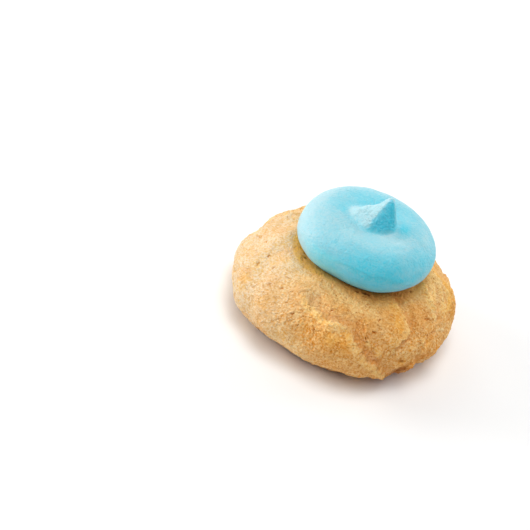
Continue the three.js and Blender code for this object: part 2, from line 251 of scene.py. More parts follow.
def along_line(P, N, line):
    """For each point: distance to the line, signed distance across it (positive on its left, seen from
    outside and looking along it), and how far along it the nearest point lies, from 0 to 1."""
    best = np.full(len(P), 1e9)
    sign = np.zeros(len(P))
    pos = np.zeros(len(P))
    n = len(line) - 1
    lo, hi = line.min(0) - 9, line.max(0) + 9
    near = np.where(np.all((P > lo) & (P < hi), 1))[0]
    Q, M = P[near], N[near]
    b, s, t0 = best[near], sign[near], pos[near]
    for k in range(n):
        d = line[k + 1] - line[k]
        w = Q - line[k]
        t = np.clip(w @ d / (d @ d), 0, 1)
        off = w - t[:, None] * d
        far = np.linalg.norm(off, axis=1)
        up = far < b
        sg = np.sign(np.einsum("ij,ij->i", np.cross(d, off), M))
        s = np.where(up, sg * far, s)
        t0 = np.where(up, (k + t) / n, t0)
        b = np.where(up, far, b)
    best[near], sign[near], pos[near] = b, s, t0
    return best, sign, pos


# Folds: line of [direction, level]; rise of the crest, its half-widths away from and towards the furrow,
# and the furrow that runs beside it on the upper side, which also gets painted shade; mark, where given, is the
# strength of the painted highlight on the crest.
FOLDS = [
    # the main torn ridge, its upper and lower parts, and a shallow crease above it
    dict(
        line=[(-118, 0.66), (-110, 0.58), (-104, 0.53), (-97.6, 0.49), (-94.6, 0.47), (-89.4, 0.47), (-84.3, 0.46), (-79.3, 0.42),
              (-75, 0.34)],
        rise=0.55, away=3.4, near=0.7, drop=0.5, reach=2.3, spread=1.9, mark=1.0,
    ),
    dict(
        line=[(-81, 0.44), (-77.3, 0.34), (-75.3, 0.28), (-72.5, 0.21), (-69.2, 0.15), (-65.2, 0.05), (-61.6, -0.02), (-55.2, -0.28),
              (-51, -0.6)],
        rise=0.8, away=3.0, near=0.45, drop=0.6, reach=1.7, spread=1.6, mark=0.9,
    ),
    dict(
        line=[(-90, 0.74), (-82.7, 0.66), (-80.3, 0.63), (-77.7, 0.58), (-74.8, 0.52), (-72.7, 0.46), (-69, 0.36)],
        rise=0.16, away=1.0, near=0.9, drop=0.28, reach=0.6, spread=0.8,
    ),
    dict(
        line=[(-71, 0.47), (-69.8, 0.42), (-65.1, 0.31), (-60.4, 0.22), (-54.8, 0.03), (-52, -0.15)],
        rise=0.2, away=1.6, near=0.5, drop=0.2, reach=1.2, spread=1.0,
    ),
    # the second ridge
    dict(
        line=[(-54, 0.97), (-49, 0.92), (-44.5, 0.84), (-43.4, 0.73), (-43.9, 0.64), (-43.1, 0.55), (-44, 0.47), (-48.1, 0.4),
              (-50.9, 0.36), (-52.6, 0.31), (-55, 0.2)],
        rise=0.6, away=3.2, near=0.4, drop=0.55, reach=1.4, spread=1.3, mark=0.6,
    ),
    # thin flaked edges on the right, and the terrace at the outer edge
    dict(
        line=[(-3, 0.88), (-5, 0.81), (-8.2, 0.76), (-12.6, 0.67), (-14.2, 0.59), (-17, 0.52)],
        rise=0.36, away=0.75, near=0.45, drop=0.26, reach=1.0, spread=0.7, mark=1.1,
    ),
    dict(
        line=[(-6, 0.72), (-9.2, 0.65), (-12.8, 0.58), (-16.3, 0.52), (-20, 0.44)],
        rise=0.3, away=0.7, near=0.45, drop=0.24, reach=0.9, spread=0.6, mark=0.9,
    ),
    dict(
        line=[(16, 0.78), (9, 0.68), (6.1, 0.56), (5, 0.47), (0.4, 0.4), (-8.3, 0.38), (-11.5, 0.31), (-16, 0.22)],
        rise=0.34, away=1.3, near=0.4, drop=0.34, reach=1.5, spread=1.3,
    ),
    dict(
        line=[(-14, 0.52), (-17, 0.45), (-23.4, 0.38), (-28.9, 0.33), (-32.6, 0.28), (-38, 0.16)],
        rise=0.12, away=1.0, near=0.5, drop=0.42, reach=0.7, spread=0.8,
    ),
    # the crease on the left lump
    dict(
        line=[(-157, 0.02), (-154, 0.11), (-153.1, 0.19), (-152, 0.24), (-149.5, 0.29), (-145, 0.32)],
        rise=0.12, away=1.0, near=0.5, drop=0.34, reach=0.4, spread=0.5,
    ),
    # the sides and back that the photograph doesn't show
    dict(line=[(48, 0.7), (60, 0.5), (72, 0.42), (84, 0.2)], rise=0.5, away=2.6, near=0.6, drop=0.5, reach=1.6, spread=1.4),
    dict(line=[(64, 0.8), (70, 0.7), (80, 0.62), (86, 0.5)], rise=0.25, away=1.2, near=0.5, drop=0.25, reach=1.0, spread=0.8),
    dict(line=[(96, 0.8), (106, 0.56), (112, 0.34), (124, 0.1)], rise=0.45, away=2.4, near=0.6, drop=0.45, reach=1.6, spread=1.4),
    dict(line=[(135, 0.6), (146, 0.52), (156, 0.36), (170, 0.3)], rise=0.25, away=2.0, near=0.6, drop=0.25, reach=1.4, spread=1.2),
    dict(line=[(100, 0.3), (108, 0.1), (114, -0.1), (126, -0.3)], rise=0.3, away=2.0, near=0.5, drop=0.35, reach=1.2, spread=1.0),
    dict(line=[(20, 0.3), (30, 0.24), (42, 0.1), (50, -0.1)], rise=0.35, away=1.8, near=0.5, drop=0.35, reach=1.2, spread=1.0),
]

# Cracks that were drawn one by one: line of [direction, level].
CRACKS = [
    [(-132.1, 0.24), (-129.8, 0.24), (-130.1, 0.15)], [(-134.1, 0.4), (-133.9, 0.44), (-132.7, 0.49)],
    [(-126.2, 0.51), (-126.3, 0.57)], [(-133.8, 0.76), (-134.1, 0.8)], [(-112.6, 0.33), (-111.1, 0.39)],
    [(-117.5, 0.16), (-116.8, 0.19), (-115.1, 0.23)], [(-99.3, 0.23), (-98.7, 0.27), (-97.6, 0.35)],
    [(-106.6, 0.58), (-106.1, 0.65), (-104.3, 0.67)], [(179.2, 0.72), (182.4, 0.74), (184.7, 0.76)],
    [(-167.3, 0.71), (-169, 0.77)], [(161.6, 0.63), (159.3, 0.67)], [(-163.6, 0.43), (-160.2, 0.47), (-157.4, 0.5)],
    [(-152.2, 0.48), (-149.2, 0.45)], [(-148.8, 0.41), (-149.4, 0.46)], [(-138.2, 0.21), (-138.3, 0.27)],
    [(-127.8, 0.31), (-128.8, 0.39)], [(-87.1, 0.18), (-86.6, 0.22), (-85.4, 0.27)],
    [(-86.8, 0.05), (-85.1, 0.06), (-82.7, 0.04)], [(-81.4, 0.11), (-80.2, 0.17)], [(-77.1, 0.36), (-76, 0.34), (-75, 0.37)],
    [(-73.8, 0.29), (-72.4, 0.25), (-70.5, 0.21), (-68.3, 0.17)], [(-71.2, 0.44), (-70.2, 0.38), (-68.2, 0.34)],
    [(-65.6, 0.57), (-64, 0.6), (-62.7, 0.63), (-61.2, 0.64)], [(-61.9, 0.58), (-60.5, 0.54)], [(-53, 0.44), (-51, 0.48)],
    [(-46, 0.47), (-43.6, 0.5), (-39.3, 0.49), (-37.8, 0.52)], [(-27.9, 0.53), (-24.9, 0.52), (-22.2, 0.49)],
    [(-12.2, 0.28), (-10.4, 0.31)], [(-22, 0.87), (-21, 0.85)], [(-48.8, 0.04), (-47.4, 0.07), (-46, 0.07)],
    [(-36.9, 0.32), (-35, 0.23)], [(-94.1, 0.61), (-92.4, 0.65)], [(-86, 0.55), (-83.7, 0.61)], [(-106.8, 0.35), (-105.7, 0.42)],
    [(-93.2, 0.19), (-92.1, 0.27)], [(-106.4, 0.23), (-105.4, 0.3)], [(-118.4, 0.38), (-117.8, 0.45)],
    [(-97.8, 0.07), (-95.2, 0.08)], [(-78, 0.06), (-75, 0.06)], [(-67, 0.51), (-65.2, 0.46)], [(-58.9, 0.43), (-56.4, 0.47)],
    [(-54.2, 0.58), (-52, 0.65)], [(-29.7, 0.66), (-24, 0.71)], [(-33.2, 0.43), (-29.6, 0.46)], [(-4.4, 0.6), (-7.9, 0.53)],
    [(-42, 0.28), (-39.5, 0.19)], [(-55.1, 0.21), (-53.8, 0.27)], [(-147, 0.92), (-141, 0.89), (-136.5, 0.9)],
    [(-158.7, 0.9), (-153.7, 0.93)], [(-151.8, 0.58), (-153.9, 0.63)], [(-141.8, 0.58), (-142, 0.64)],
    [(-155.2, 0.77), (-152.5, 0.8)], [(-169.8, 0.55), (-164.7, 0.6)], [(-124.5, 0.15), (-124, 0.2)],
    [(-76.2, 0.87), (-73.3, 0.89), (-68.6, 0.87)], [(-45.6, 0.9), (-42, 0.85)],
]

# Knobs and hollows: direction, level, rise, width.
KNOBS = [
    (-20, 0.02, 0.75, 2.6),
    (-25, 0.0, 0.5, 1.3),
    (-37, -0.45, 0.7, 2.6),
    (-37, 0.06, -0.8, 1.4),
    (-34.5, -0.12, -1.0, 1.4),
    (-32, -0.35, -1.2, 1.5),
    (-29, -0.55, -1.6, 1.7),
    (-26, -0.14, -0.95, 1.3),
    (-40.5, -0.05, 0.55, 1.3),
    (-44.5, -0.3, -0.7, 0.9),
    (-42.5, -0.32, 0.5, 1.1),
    (-48.5, 0.1, -0.5, 0.8),
    (-52, -0.35, 0.9, 2.2),
    (-144, -0.1, 0.6, 3.4),
    (-158, 0.12, 0.5, 3.0),
    (-172, 0.2, 0.1, 3.2),
    (-108, -0.62, -1.1, 5.0),
    (-91, -0.65, -0.5, 2.8),
    (-1, 0.16, -1.2, 3.2),
    (12, 0.45, 0.4, 2.0),
    (-114, -0.5, -0.45, 2.4),
    (34, 0.52, -1.15, 4.2),
    (166, 0.38, -1.1, 5.2),
    (62, 0.25, 0.7, 5.0),
    (98, 0.05, -0.7, 3.2),
    (121, 0.3, 0.6, 4.4),
    (158, -0.3, 0.5, 4.0),
]


# Thin flaked lines on the right, raised and given a pale painted highlight: line of [direction, level], strength.
FLAKES = [
    ([(-4.9, 0.85), (-7.1, 0.81), (-11.1, 0.74), (-14.4, 0.67)], 1.3),
    ([(0.5, 0.72), (-3.8, 0.67), (-11.5, 0.6), (-17.3, 0.53)], 1.2),
    ([(5.3, 0.68), (-0.1, 0.6), (-5.5, 0.5), (-11.8, 0.42)], 1.0),
    ([(11.7, 0.58), (4.9, 0.54), (0.5, 0.46), (-7.7, 0.39)], 1.1),
    ([(-22.6, 0.5), (-29.0, 0.42), (-33.0, 0.31), (-35.8, 0.22)], 0.4),
    ([(-66, 0.33), (-63.5, 0.24), (-61, 0.16)], 0.7), ([(-70.7, 0.36), (-67.5, 0.28), (-65.9, 0.2)], 0.6),
    ([(-57.5, 0.5), (-56.4, 0.4), (-56.9, 0.3)], 0.5), ([(-45.5, 0.36), (-44, 0.28), (-43.2, 0.2)], 0.6),
    ([(70, 0.62), (78, 0.5), (84, 0.4)], 0.7), ([(150, 0.7), (158, 0.6), (162, 0.5)], 0.6),
]

# Patches where it baked warmer: direction, level, reach, strength.
WARM = [
    (-88, 0.32, 2.4, 0.9), (-80, 0.28, 1.8, 0.7), (-48, 0.78, 1.6, 0.9), (-48.5, 0.62, 1.8, 1.0), (-51, 0.48, 1.7, 0.9),
    (-104, 0.34, 2.0, 0.5), (14, 0.42, 1.1, 1.0), (9.5, 0.31, 1.2, 1.1), (3, 0.22, 1.1, 0.9), (-30, 0.22, 1.6, 0.7),
    (-47.5, 0.08, 0.8, 0.9), (-122, 0.86, 1.8, 0.5), (-147, 0.25, 1.5, 0.4), (60, 0.5, 2.4, 0.7), (104, 0.4, 2.6, 0.7),
    (140, 0.5, 2.4, 0.6), (30, 0.6, 2.0, 0.6),
]


# Patches a little browner than the rest.
TOAST = [
    (-33, 0.62, 3.0, 0.8), (-71, 0.5, 2.6, 0.6), (-66, 0.15, 2.2, 0.3), (-85, 0.0, 4.0, 0.4), (-28, 0.3, 2.2, 0.4), (-44, -0.25, 2.2, 0.7),
    (70, 0.3, 4.0, 0.5), (130, 0.2, 4.0, 0.5), (30, 0.2, 3.0, 0.4), (-72.6, 0.94, 1.7, 0.9), (-56, 0.73, 2.2, 0.9), (-26, 0.72, 1.8, 0.9),
    (-88.6, 0.68, 1.8, 0.9), (-33.5, 0.07, 1.8, 0.8), (-27, 0.88, 1.5, 0.7), (-100, 0.73, 1.6, 0.8), (-178, 0.73, 2.0, 0.5), (-156, 0.9, 1.5, 0.6),
    (-41.3, -0.03, 1.6, 0.8), (-135, 0.53, 1.8, 0.45), (-51.6, 0.54, 2.0, 0.6), (-61, 0.57, 1.8, 0.6), (-46, 0.88, 1.5, 0.7), (-46, 0.49, 1.5, 0.4),
    (-154, 0.79, 1.5, 0.4), (-112.5, 0.55, 1.5, 0.5), (-119, 0.62, 1.5, 0.5), (-96, 0.39, 2.0, 0.5), (-88, 0.28, 1.8, 0.4), (-78, 0.17, 1.6, 0.5),
    (-60, -0.27, 1.5, 0.4), (-36, -0.12, 1.8, 0.9), (-30, 0.08, 1.5, 0.9), (-44, -0.38, 1.6, 0.8), (-23.5, 0.71, 1.6, 0.7), (-88, 0.69, 1.5, 0.6),
    (-56, 0.75, 1.5, 0.6), (-75, 0.85, 1.4, 0.7), (-72, 0.59, 1.6, 0.7), (-41.3, -0.03, 1.4, 0.6), (-45.6, 0.48, 1.4, 0.6), (-60.5, 0.32, 1.6, 0.5),
    (-68.5, 0.03, 1.8, 0.6), (-75.5, -0.1, 2.2, 0.5), (-62, 0.0, 2.0, 0.4), (-33.6, 0.7, 2.0, 0.4), (-38.5, 0.5, 2.4, 0.5), (-29, 0.56, 2.2, 0.4),
    (-178, 0.6, 3.0, 0.2), (170, 0.6, 2.5, 0.2), (-80, 0.56, 1.8, 0.45), (-72.8, 0.55, 2.0, 0.4), (-68, 0.5, 2.0, 0.4),
]
# Patches a little fairer.
FAIR = [
    (-99, -0.23, 2.0, 0.8), (-106, -0.22, 2.2, 0.9), (-112, -0.02, 2.4, 0.9), (-94, -0.37, 1.8, 0.7), (-149, 0.46, 1.6, 0.8), (-18, 0.32, 1.6, 0.8),
    (-48.6, 0.28, 1.5, 0.8), (144, 0.56, 2.0, 0.5), (-145, 0.24, 1.6, 0.6), (-65.7, 0.11, 1.6, 0.8), (50, 0.4, 2.5, 0.6), (85, 0.0, 3.0, 0.5),
    (115, 0.6, 2.2, 0.5), (-91, 0.49, 1.7, 0.5), (-86, 0.45, 1.7, 0.5), (-112, -0.03, 2.4, 0.6), (-106, 0.04, 2.0, 0.5),
]
# The smooth golden rim at the right, outside this line of [direction, level].
RIM = [(46, 0.64), (35, 0.7), (25, 0.77), (17.5, 0.75), (15.3, 0.7), (11.4, 0.64), (7.8, 0.6), (6.2, 0.55), (2.0, 0.52), (-1.6, 0.47), (-6, 0.45), (-10.5, 0.4)]
RIM_WIDE = 4.2
# Deep holes by the icing's edge and one in the ragged edge: direction, level, radius, depth.
HOLES = [
    (-79.5, 0.93, 0.16, 0.5), (-73.5, 0.93, 0.2, 0.6), (-71.3, 0.925, 0.24, 0.7), (-67.8, 0.915, 0.2, 0.6),
    (-41.6, 0.9, 0.24, 0.6), (-37.3, 0.87, 0.2, 0.5), (-20.8, 0.865, 0.2, 0.6), (-142.5, 0.925, 0.2, 0.5),
    (-147.9, 0.93, 0.16, 0.4), (-47.8, 0.08, 0.2, 0.3), (-73.4, 0.31, 0.16, 0.3), (22, 0.9, 0.22, 0.6),
    (75, 0.9, 0.24, 0.6), (120, 0.91, 0.2, 0.6),
]


def patches(P, table):
    out = np.zeros(len(P))
    ragged = P + 1.1 * np.stack([fbm(P, 2.4, 3, seed=s) for s in (81, 82, 83)], -1)
    for direction, lev, reach, strength in table:
        out += strength * bell(np.linalg.norm(ragged - side(math.radians(direction), lev), axis=1), reach)
    return np.clip(out, 0, 1)


def broad_relief(P, N, level):
    out = np.zeros(len(P))
    crest_highlight = np.zeros(len(P))
    furrow_shade = np.zeros(len(P))
    wob = fbm(P, 2.6, 2, seed=5) * 0.7 + fbm(P, 1.0, 2, seed=6) * 0.55
    torn = 1 + 0.5 * fbm(P, 2.2, 2, seed=7)
    broken = np.clip(0.8 + 1.2 * fbm(P, 1.6, 3, gain=0.75, seed=4), 0, 1.4)
    for f in FOLDS:
        _, s, t = along_line(P, N, line_on_side(f["line"]))
        far = _ > 1e8
        s = np.where(far, 1e3, s + wob)
        ends = smooth(t / 0.15) * smooth((1 - t) / 0.12) * torn
        crest = f["rise"] * np.where(s < 0, bell(s, f["away"]), bell(s, f["near"]))
        furrow = f["drop"] * bell(s - f["reach"], f["spread"]) * smooth(s / (f["near"] + 0.2))
        out += ends * (crest - np.where(s > 0, furrow, 0))
        crest_highlight += broken * ends * f.get("mark", f["rise"]) * bell(s + 0.4, 0.85)
        furrow_shade += ends * f["drop"] * bell(s - f["reach"] * 0.75, f["spread"] * 0.8)
    for line, strength in FLAKES:
        far, t = along_line_small(P, line_on_side(line, 4))
        ends = smooth(t / 0.2) * smooth((1 - t) / 0.2)
        out += 0.34 * strength * ends * bell(far + 0.4 * wob, 0.42)
        crest_highlight += broken * strength * ends * bell(far + 0.4 * wob, 0.6)
    for direction, lev, rise, width in KNOBS:
        c = side(math.radians(direction), lev)
        out += rise * bell(np.linalg.norm(P - c, axis=1), width)
    x, y, z = P[:, 0], P[:, 1], P[:, 2]
    out += 0.22 * np.sin(0.33 * x + 0.21 * y + 0.4 * z + 1.3)
    out += 0.2 * np.sin(-0.25 * x + 0.42 * y - 0.3 * z + 4.1)
    out += 0.16 * np.sin(0.61 * x - 0.47 * y + 0.52 * z + 2.2)
    out += 0.12 * np.sin(0.74 * x + 0.68 * y - 0.6 * z + 0.5)
    return out * smooth((0.97 - level) / 0.16), crest_highlight, furrow_shade


# ---------------------------------------------------------------- mesh making
def closed_grid(rings, first, last):
    """Vertices and faces of a closed body from rings of equal count, bottom middle to top middle."""
    turns = rings.shape[1]
    n = rings.shape[0]
    verts = np.vstack([first[None], rings.reshape(-1, 3), last[None]])
    i = np.arange(turns)
    j = (i + 1) % turns
    quads = []
    for r in range(n - 1):
        a = 1 + r * turns
        b = a + turns
        quads.append(np.stack([a + i, a + j, b + j, b + i], 1))
    quads = np.vstack(quads)
    top = 1 + (n - 1) * turns
    tri0 = np.stack([np.zeros_like(i), 1 + j, 1 + i], 1)
    tri1 = np.stack([np.full_like(i, len(verts) - 1), top + i, top + j], 1)
    return verts, quads, np.vstack([tri0, tri1])


def make_mesh(name, verts, quads, tris, attributes):
    co = (verts + np.array([CAD_SHIFT[0], CAD_SHIFT[1], 0.0])) * MM
    me = bpy.data.meshes.new(name)
    me.vertices.add(len(co))
    me.vertices.foreach_set("co", co.astype(np.float32).ravel())
    loops = np.concatenate([quads.ravel(), tris.ravel()]).astype(np.int32)
    me.loops.add(len(loops))
    me.loops.foreach_set("vertex_index", loops)
    starts = np.concatenate([np.arange(len(quads)) * 4, len(quads) * 4 + np.arange(len(tris)) * 3]).astype(np.int32)
    totals = np.concatenate([np.full(len(quads), 4), np.full(len(tris), 3)]).astype(np.int32)
    me.polygons.add(len(starts))
    me.polygons.foreach_set("loop_start", starts)
    me.polygons.foreach_set("loop_total", totals)
    me.update(calc_edges=True)
    me.validate()
    me.polygons.foreach_set("use_smooth", np.ones(len(me.polygons), bool))
    for key, value in attributes.items():
        at = me.attributes.new(key, "FLOAT", "POINT")
        at.data.foreach_set("value", value.astype(np.float32))
    ob = bpy.data.objects.new(name, me)
    bpy.context.scene.collection.objects.link(ob)
    return ob


def grid_normals(G):
    """Outward normals of a grid of rings: G is rings x turns x 3, running upwards."""
    along = np.roll(G, -1, 1) - np.roll(G, 1, 1)
    up = np.gradient(G, axis=0)
    return unit(np.cross(along, up))


def blur(F, rounds):
    """Blurs a field on rings x turns, periodic along the turns."""
    for _ in range(rounds):
        F = (F + np.roll(F, 1, 1) + np.roll(F, -1, 1)) / 3
        up = np.vstack([F[1:], F[-1:]])
        dn = np.vstack([F[:1], F[:-1]])
        F = (F + up + dn) / 3
    return F


# ---------------------------------------------------------------- the dough
TURNS = 640
ROWS = 134


def level_rows(count):
    """Levels at steps along the profile, closer together over the widest ring than under it."""
    lv = np.linspace(-1, 1, 800)
    p = side(np.zeros_like(lv), lv)
    step = np.linalg.norm(np.diff(p, axis=0), axis=1)
    step = step * np.where(lv[1:] < -0.45, 0.55, np.where(lv[1:] > 0.96, 0.6, 1.0))
    s = np.concatenate([[0], np.cumsum(step)])
    return np.interp(np.linspace(0, s[-1], count), s, lv)


def scatter_cracks(count, seed):
    """Short wandering cracks: a few points each on the side, with width and depth."""
    rng = np.random.RandomState(seed)
    out = []
    for _ in range(count):
        th = rng.uniform(-180, 180)
        lv = rng.uniform(-0.55, 0.8)
        lean = math.radians(rng.normal(35, 28)) if rng.rand() < 0.75 else math.radians(rng.uniform(-90, 90))
        long = rng.uniform(1.2, 3.4)
        k = 5
        pts = []
        x = y = 0.0
        for i in range(k):
            pts.append((th + math.degrees(x / 24.0), lv + y / 17.0))
            x += long / (k - 1) * math.cos(lean) + rng.normal(0, 0.16)
            y += long / (k - 1) * math.sin(lean) + rng.normal(0, 0.16)
        out.append((pts, rng.uniform(0.1, 0.15), rng.uniform(0.14, 0.3)))
    return out


def dough():
    lv = level_rows(ROWS)
    turn = np.linspace(0, 2 * PI, TURNS, endpoint=False)
    turn = turn + 0.36 * np.sin(turn - math.radians(98))  # closer together round the front
    L, T = np.meshgrid(lv, turn, indexing="ij")
    P = side(T, L).reshape(-1, 3)
    N = side_normal(T, L).reshape(-1, 3)
    level = L.ravel()
    # crest and furrow come back as the masks of the painted highlight on the ridge crests and of the painted shade in
    # their furrows
    broad, crest, furrow = broad_relief(P, N, level)
    flat = smooth((level + 1) / 0.35)
    N0 = N.copy()
    N0[:, 2] *= flat
    Q = P + N0 * broad[:, None]
    G = Q.reshape(ROWS, TURNS, 3)
    N1 = grid_normals(G).reshape(-1, 3)

    # clumps, crumbs, cracks and pits, all along the new normals
    fine = 0.34 * fbm(Q, 8.0, 3, seed=11)
    warp = Q + 0.8 * np.stack([fbm(Q, 2.5, 2, seed=s) for s in (21, 22, 23)], -1)
    f1, f2, fid = cells(warp, 3.0, seed=3)
    fine += 0.1 * (0.45 - f1) * smooth((f2 - f1) / 0.2) + 0.05 * (fid - 0.5)
    g1, g2, gid = cells(warp, 1.5, seed=8)
    fine += 0.1 * (0.5 - g1) + 0.07 * (gid - 0.5) * smooth((g2 - g1) / 0.25)
    h1, h2, hid = cells(Q, 0.75, seed=9)
    fine += 0.2 * (0.5 - h1) + 0.1 * (hid - 0.5)
    fine += 0.12 * fbm(Q, 0.6, 2, seed=13)
    # flaky and ragged where the ridges tore, low on the right
    fine += 0.5 * np.abs(fbm(warp, 1.8, 3, seed=15)) * np.clip(crest + furrow, 0, 1)
    az = np.degrees(np.arctan2(P[:, 1], P[:, 0]))
    low = smooth((0.25 - level) / 0.3) * smooth((level + 0.95) / 0.3)
    fine += low * (0.2 + 0.8 * bell(az + 38, 20)) * 0.9 * fbm(P, 1.9, 3, seed=16)

    pit = np.zeros(len(Q))
    torn = Q + 0.45 * np.stack([fbm(Q, 0.8, 2, seed=s) for s in (51, 52, 53)], -1)
    for size, share, depth, wide, seed in ((1.9, 0.12, 0.2, 0.12, 41), (1.1, 0.14, 0.16, 0.16, 42)):
        p1, _, pid = cells(torn, size, seed=seed)
        pit += depth * bell(p1, wide * (0.6 + 1.1 * pid / share)) * (pid < share)
    lips = np.zeros(len(Q))
    rng = np.random.RandomState(19)
    drawn = [(c, rng.uniform(0.14, 0.2), rng.uniform(0.38, 0.54)) for c in CRACKS]
    for pts, width, depth in drawn + scatter_cracks(150, 77):
        far, t = along_line_small(torn, line_on_side(pts, 3))
        ends = smooth(t / 0.25) * smooth((1 - t) / 0.25)
        pit += depth * ends * bell(far, width)
        lips += 0.3 * depth * ends * bell(far - 2.1 * width, 0.9 * width)
    pit = np.minimum(pit, 0.42)
    hole = np.zeros(len(Q))
    for direction, lev, radius, depth in HOLES:
        far = np.linalg.norm(torn - side(math.radians(direction), lev), axis=1)
        hole = np.maximum(hole, depth * bell(np.maximum(0, far - 0.3), 0.8 * radius))
    turned = np.degrees(np.arctan2(Q[:, 1], Q[:, 0]))
    calm = smooth((52 - np.abs((turned + 150 + 180) % 360 - 180)) / 30)
    fine = fine * (1 - 0.38 * calm)
    fine += np.minimum(lips, 0.15) - pit * (1 - 0.3 * calm)
    _, out, t = along_line(P, N, line_on_side(RIM))
    out = out + 0.3 * fbm(P, 1.4, 3, seed=18)
    rim = smooth((out + 0.15) / 0.4) * smooth((RIM_WIDE - out + 2.4 * fbm(P, 2.6, 3, seed=20)) / 2.2) * smooth(t / 0.2) * smooth((1 - t) / 0.2)
    rim = np.where(_ > 1e8, 0, rim * np.clip(0.85 + 0.7 * fbm(P, 1.8, 3, gain=0.7, seed=22), 0, 1))
    step = np.where(_ > 1e8, 0, bell(out + 0.25, 0.35) * smooth(t / 0.12) * smooth((1 - t) / 0.1))
    fine = fine * (1 - 0.5 * rim) + 0.2 * step - 0.16 * rim * bell(out - 0.3, 0.4)
    keep = smooth((0.99 - level) / 0.1)
    fine = fine * keep - hole
    N1[:, 2] *= flat
    Q = Q + N1 * fine[:, None]
    G = Q.reshape(ROWS, TURNS, 3)
    G[0, :, 2] = 0.0
    G[..., 2] = np.maximum(G[..., 2], 0.0)
    D = (broad + fine).reshape(ROWS, TURNS)
    cav1 = D - blur(D, 3)
    cav2 = D - blur(D, 14)

    # golden all round but for the pale side, with painted shade close to the icing and a painted contact shadow at its
    # front
    az = np.arctan2(Q[:, 1], Q[:, 0])
    away = np.abs(np.angle(np.exp(1j * (az - math.radians(-168)))))
    bake = smooth((away - math.radians(14)) / math.radians(66)) * (0.86 + 0.14 * np.cos(az - math.radians(-58)))
    bake = np.clip(bake + 0.25 * fbm(Q, 7.0, 2, seed=71), 0, 1.1)
    x, y = Q[:, 0] - ICING_CENTRE[0], Q[:, 1] - ICING_CENTRE[1]
    scorch = 0.3 * bell(np.degrees(az) + 46, 13) + 0.2 * bell(np.degrees(az) + 46, 7)
    toward = np.degrees(np.arctan2(y, x))
    # painted contact shadow along the icing's front edge
    contact_shadow = smooth((0.6 - (np.hypot(x, y) - icing_radius(np.arctan2(y, x)))) / 3.4)
    contact_shadow = contact_shadow * (0.3 + 0.6 * smooth((toward + 112) / 20) * smooth((-16 - toward) / 15))
    # painted shade under the icing's overhang
    shade_under_icing = smooth((0.5 - (np.hypot(x, y) - icing_radius(np.arctan2(y, x)))) / 1.6)

    # the underside, and the hollow under the icing
    under = []
    edge = G[0]
    for share in (0.15, 0.3, 0.45, 0.6, 0.72, 0.82, 0.9, 0.96):
        ring = edge * share
        ring[:, 2] = 0
        under.append(ring)
    under = np.array(under)
    u = under.reshape(-1, 3)
    dip = 0.12 * (fbm(u, 3.0, 3, seed=61) * 0.5 + 0.5) * smooth((20 - np.linalg.norm(u, axis=1)) / 5)
    u[:, 2] = np.maximum(0, dip)
    under = u.reshape(under.shape)
    inner = []
    for share in (0.9, 0.7, 0.45, 0.2):
        r = share * RIM_RADIUS
        inner.append(np.stack([r * np.cos(turn), r * np.sin(turn), top_height(np.full_like(turn, r), turn)], -1))
    rings = np.concatenate([under, G, np.array(inner)], 0)
    verts, quads, tris = closed_grid(rings, np.array([0, 0, 0.1]), np.array([0, 0, PRINT_FLOOR]))

    def field(F, low=0.0, high=0.0):
        F = F.reshape(ROWS, TURNS)
        return np.concatenate([[low], np.full(len(under) * TURNS, low), F.ravel(), np.full(4 * TURNS, high), [high]])

    attributes = {
        "crest": field(np.clip(crest, 0, 1)),
        "furrow": field(np.clip(furrow, 0, 1)),
        "pit": field(np.clip(pit / 0.5, 0, 1)),
        "cav1": field(cav1),
        "cav2": field(cav2),
        "level": field(level, -1.2, 1.2),
        "bake": field(bake, 1.0, 0.5),
        "near": field(shade_under_icing),
        "contact_shadow": field(contact_shadow),
        "warm": field(patches(P, WARM)),
        "toast": field(patches(P, TOAST)),
        "fair": field(patches(P, FAIR)),
        "hole": field(hole),
        "rim": field(rim),
        "scorch": field(scorch),
    }
    print("dough", len(verts), "verts", len(quads) * 2 + len(tris), "tris")
    return make_mesh("dough_baked", verts, quads, tris, attributes)


def along_line_small(P, line):
    """Distance to a short line, and how far along it from 0 to 1."""
    best = np.full(len(P), 1e3)
    pos = np.zeros(len(P))
    lo, hi = line.min(0) - 1.5, line.max(0) + 1.5
    near = np.where(np.all((P > lo) & (P < hi), 1))[0]
    Q = P[near]
    b, t0 = best[near], pos[near]
    n = len(line) - 1
    for k in range(n):
        d = line[k + 1] - line[k]
        w = Q - line[k]
        t = np.clip(w @ d / (d @ d + 1e-12), 0, 1)
        far = np.linalg.norm(w - t[:, None] * d, axis=1)
        t0 = np.where(far < b, (k + t) / n, t0)
        b = np.minimum(b, far)
    best[near], pos[near] = b, t0
    return best, pos


# ---------------------------------------------------------------- the icing
ICE_TURNS = 420


def icing_radius(turn):
    c, d = np.cos(turn), np.sin(turn)
    r = 1.0 / np.sqrt((c / ICING_RADIUS_X) ** 2 + (d / ICING_RADIUS_Y) ** 2)
    for at, share, width in ICING_UNEVEN:
        off = np.degrees(np.angle(np.exp(1j * (turn - math.radians(at)))))
        r = r * (1 + share * bell(off, width))
    return r * lobes(ICING_LOBES, turn)


def about(r, turn, z):
    r, turn, z = np.broadcast_arrays(r, turn, z)
    return np.stack([ICING_CENTRE[0] + r * np.cos(turn), ICING_CENTRE[1] + r * np.sin(turn), z], -1)


def dish_height(x, y):
    """Height of the icing's top inside the crest."""
    return DISH_HEIGHT + (CREST_HEIGHT - DISH_HEIGHT) * smooth(np.hypot(x - ICING_CENTRE[0], y - ICING_CENTRE[1]) / CREST_RADIUS)


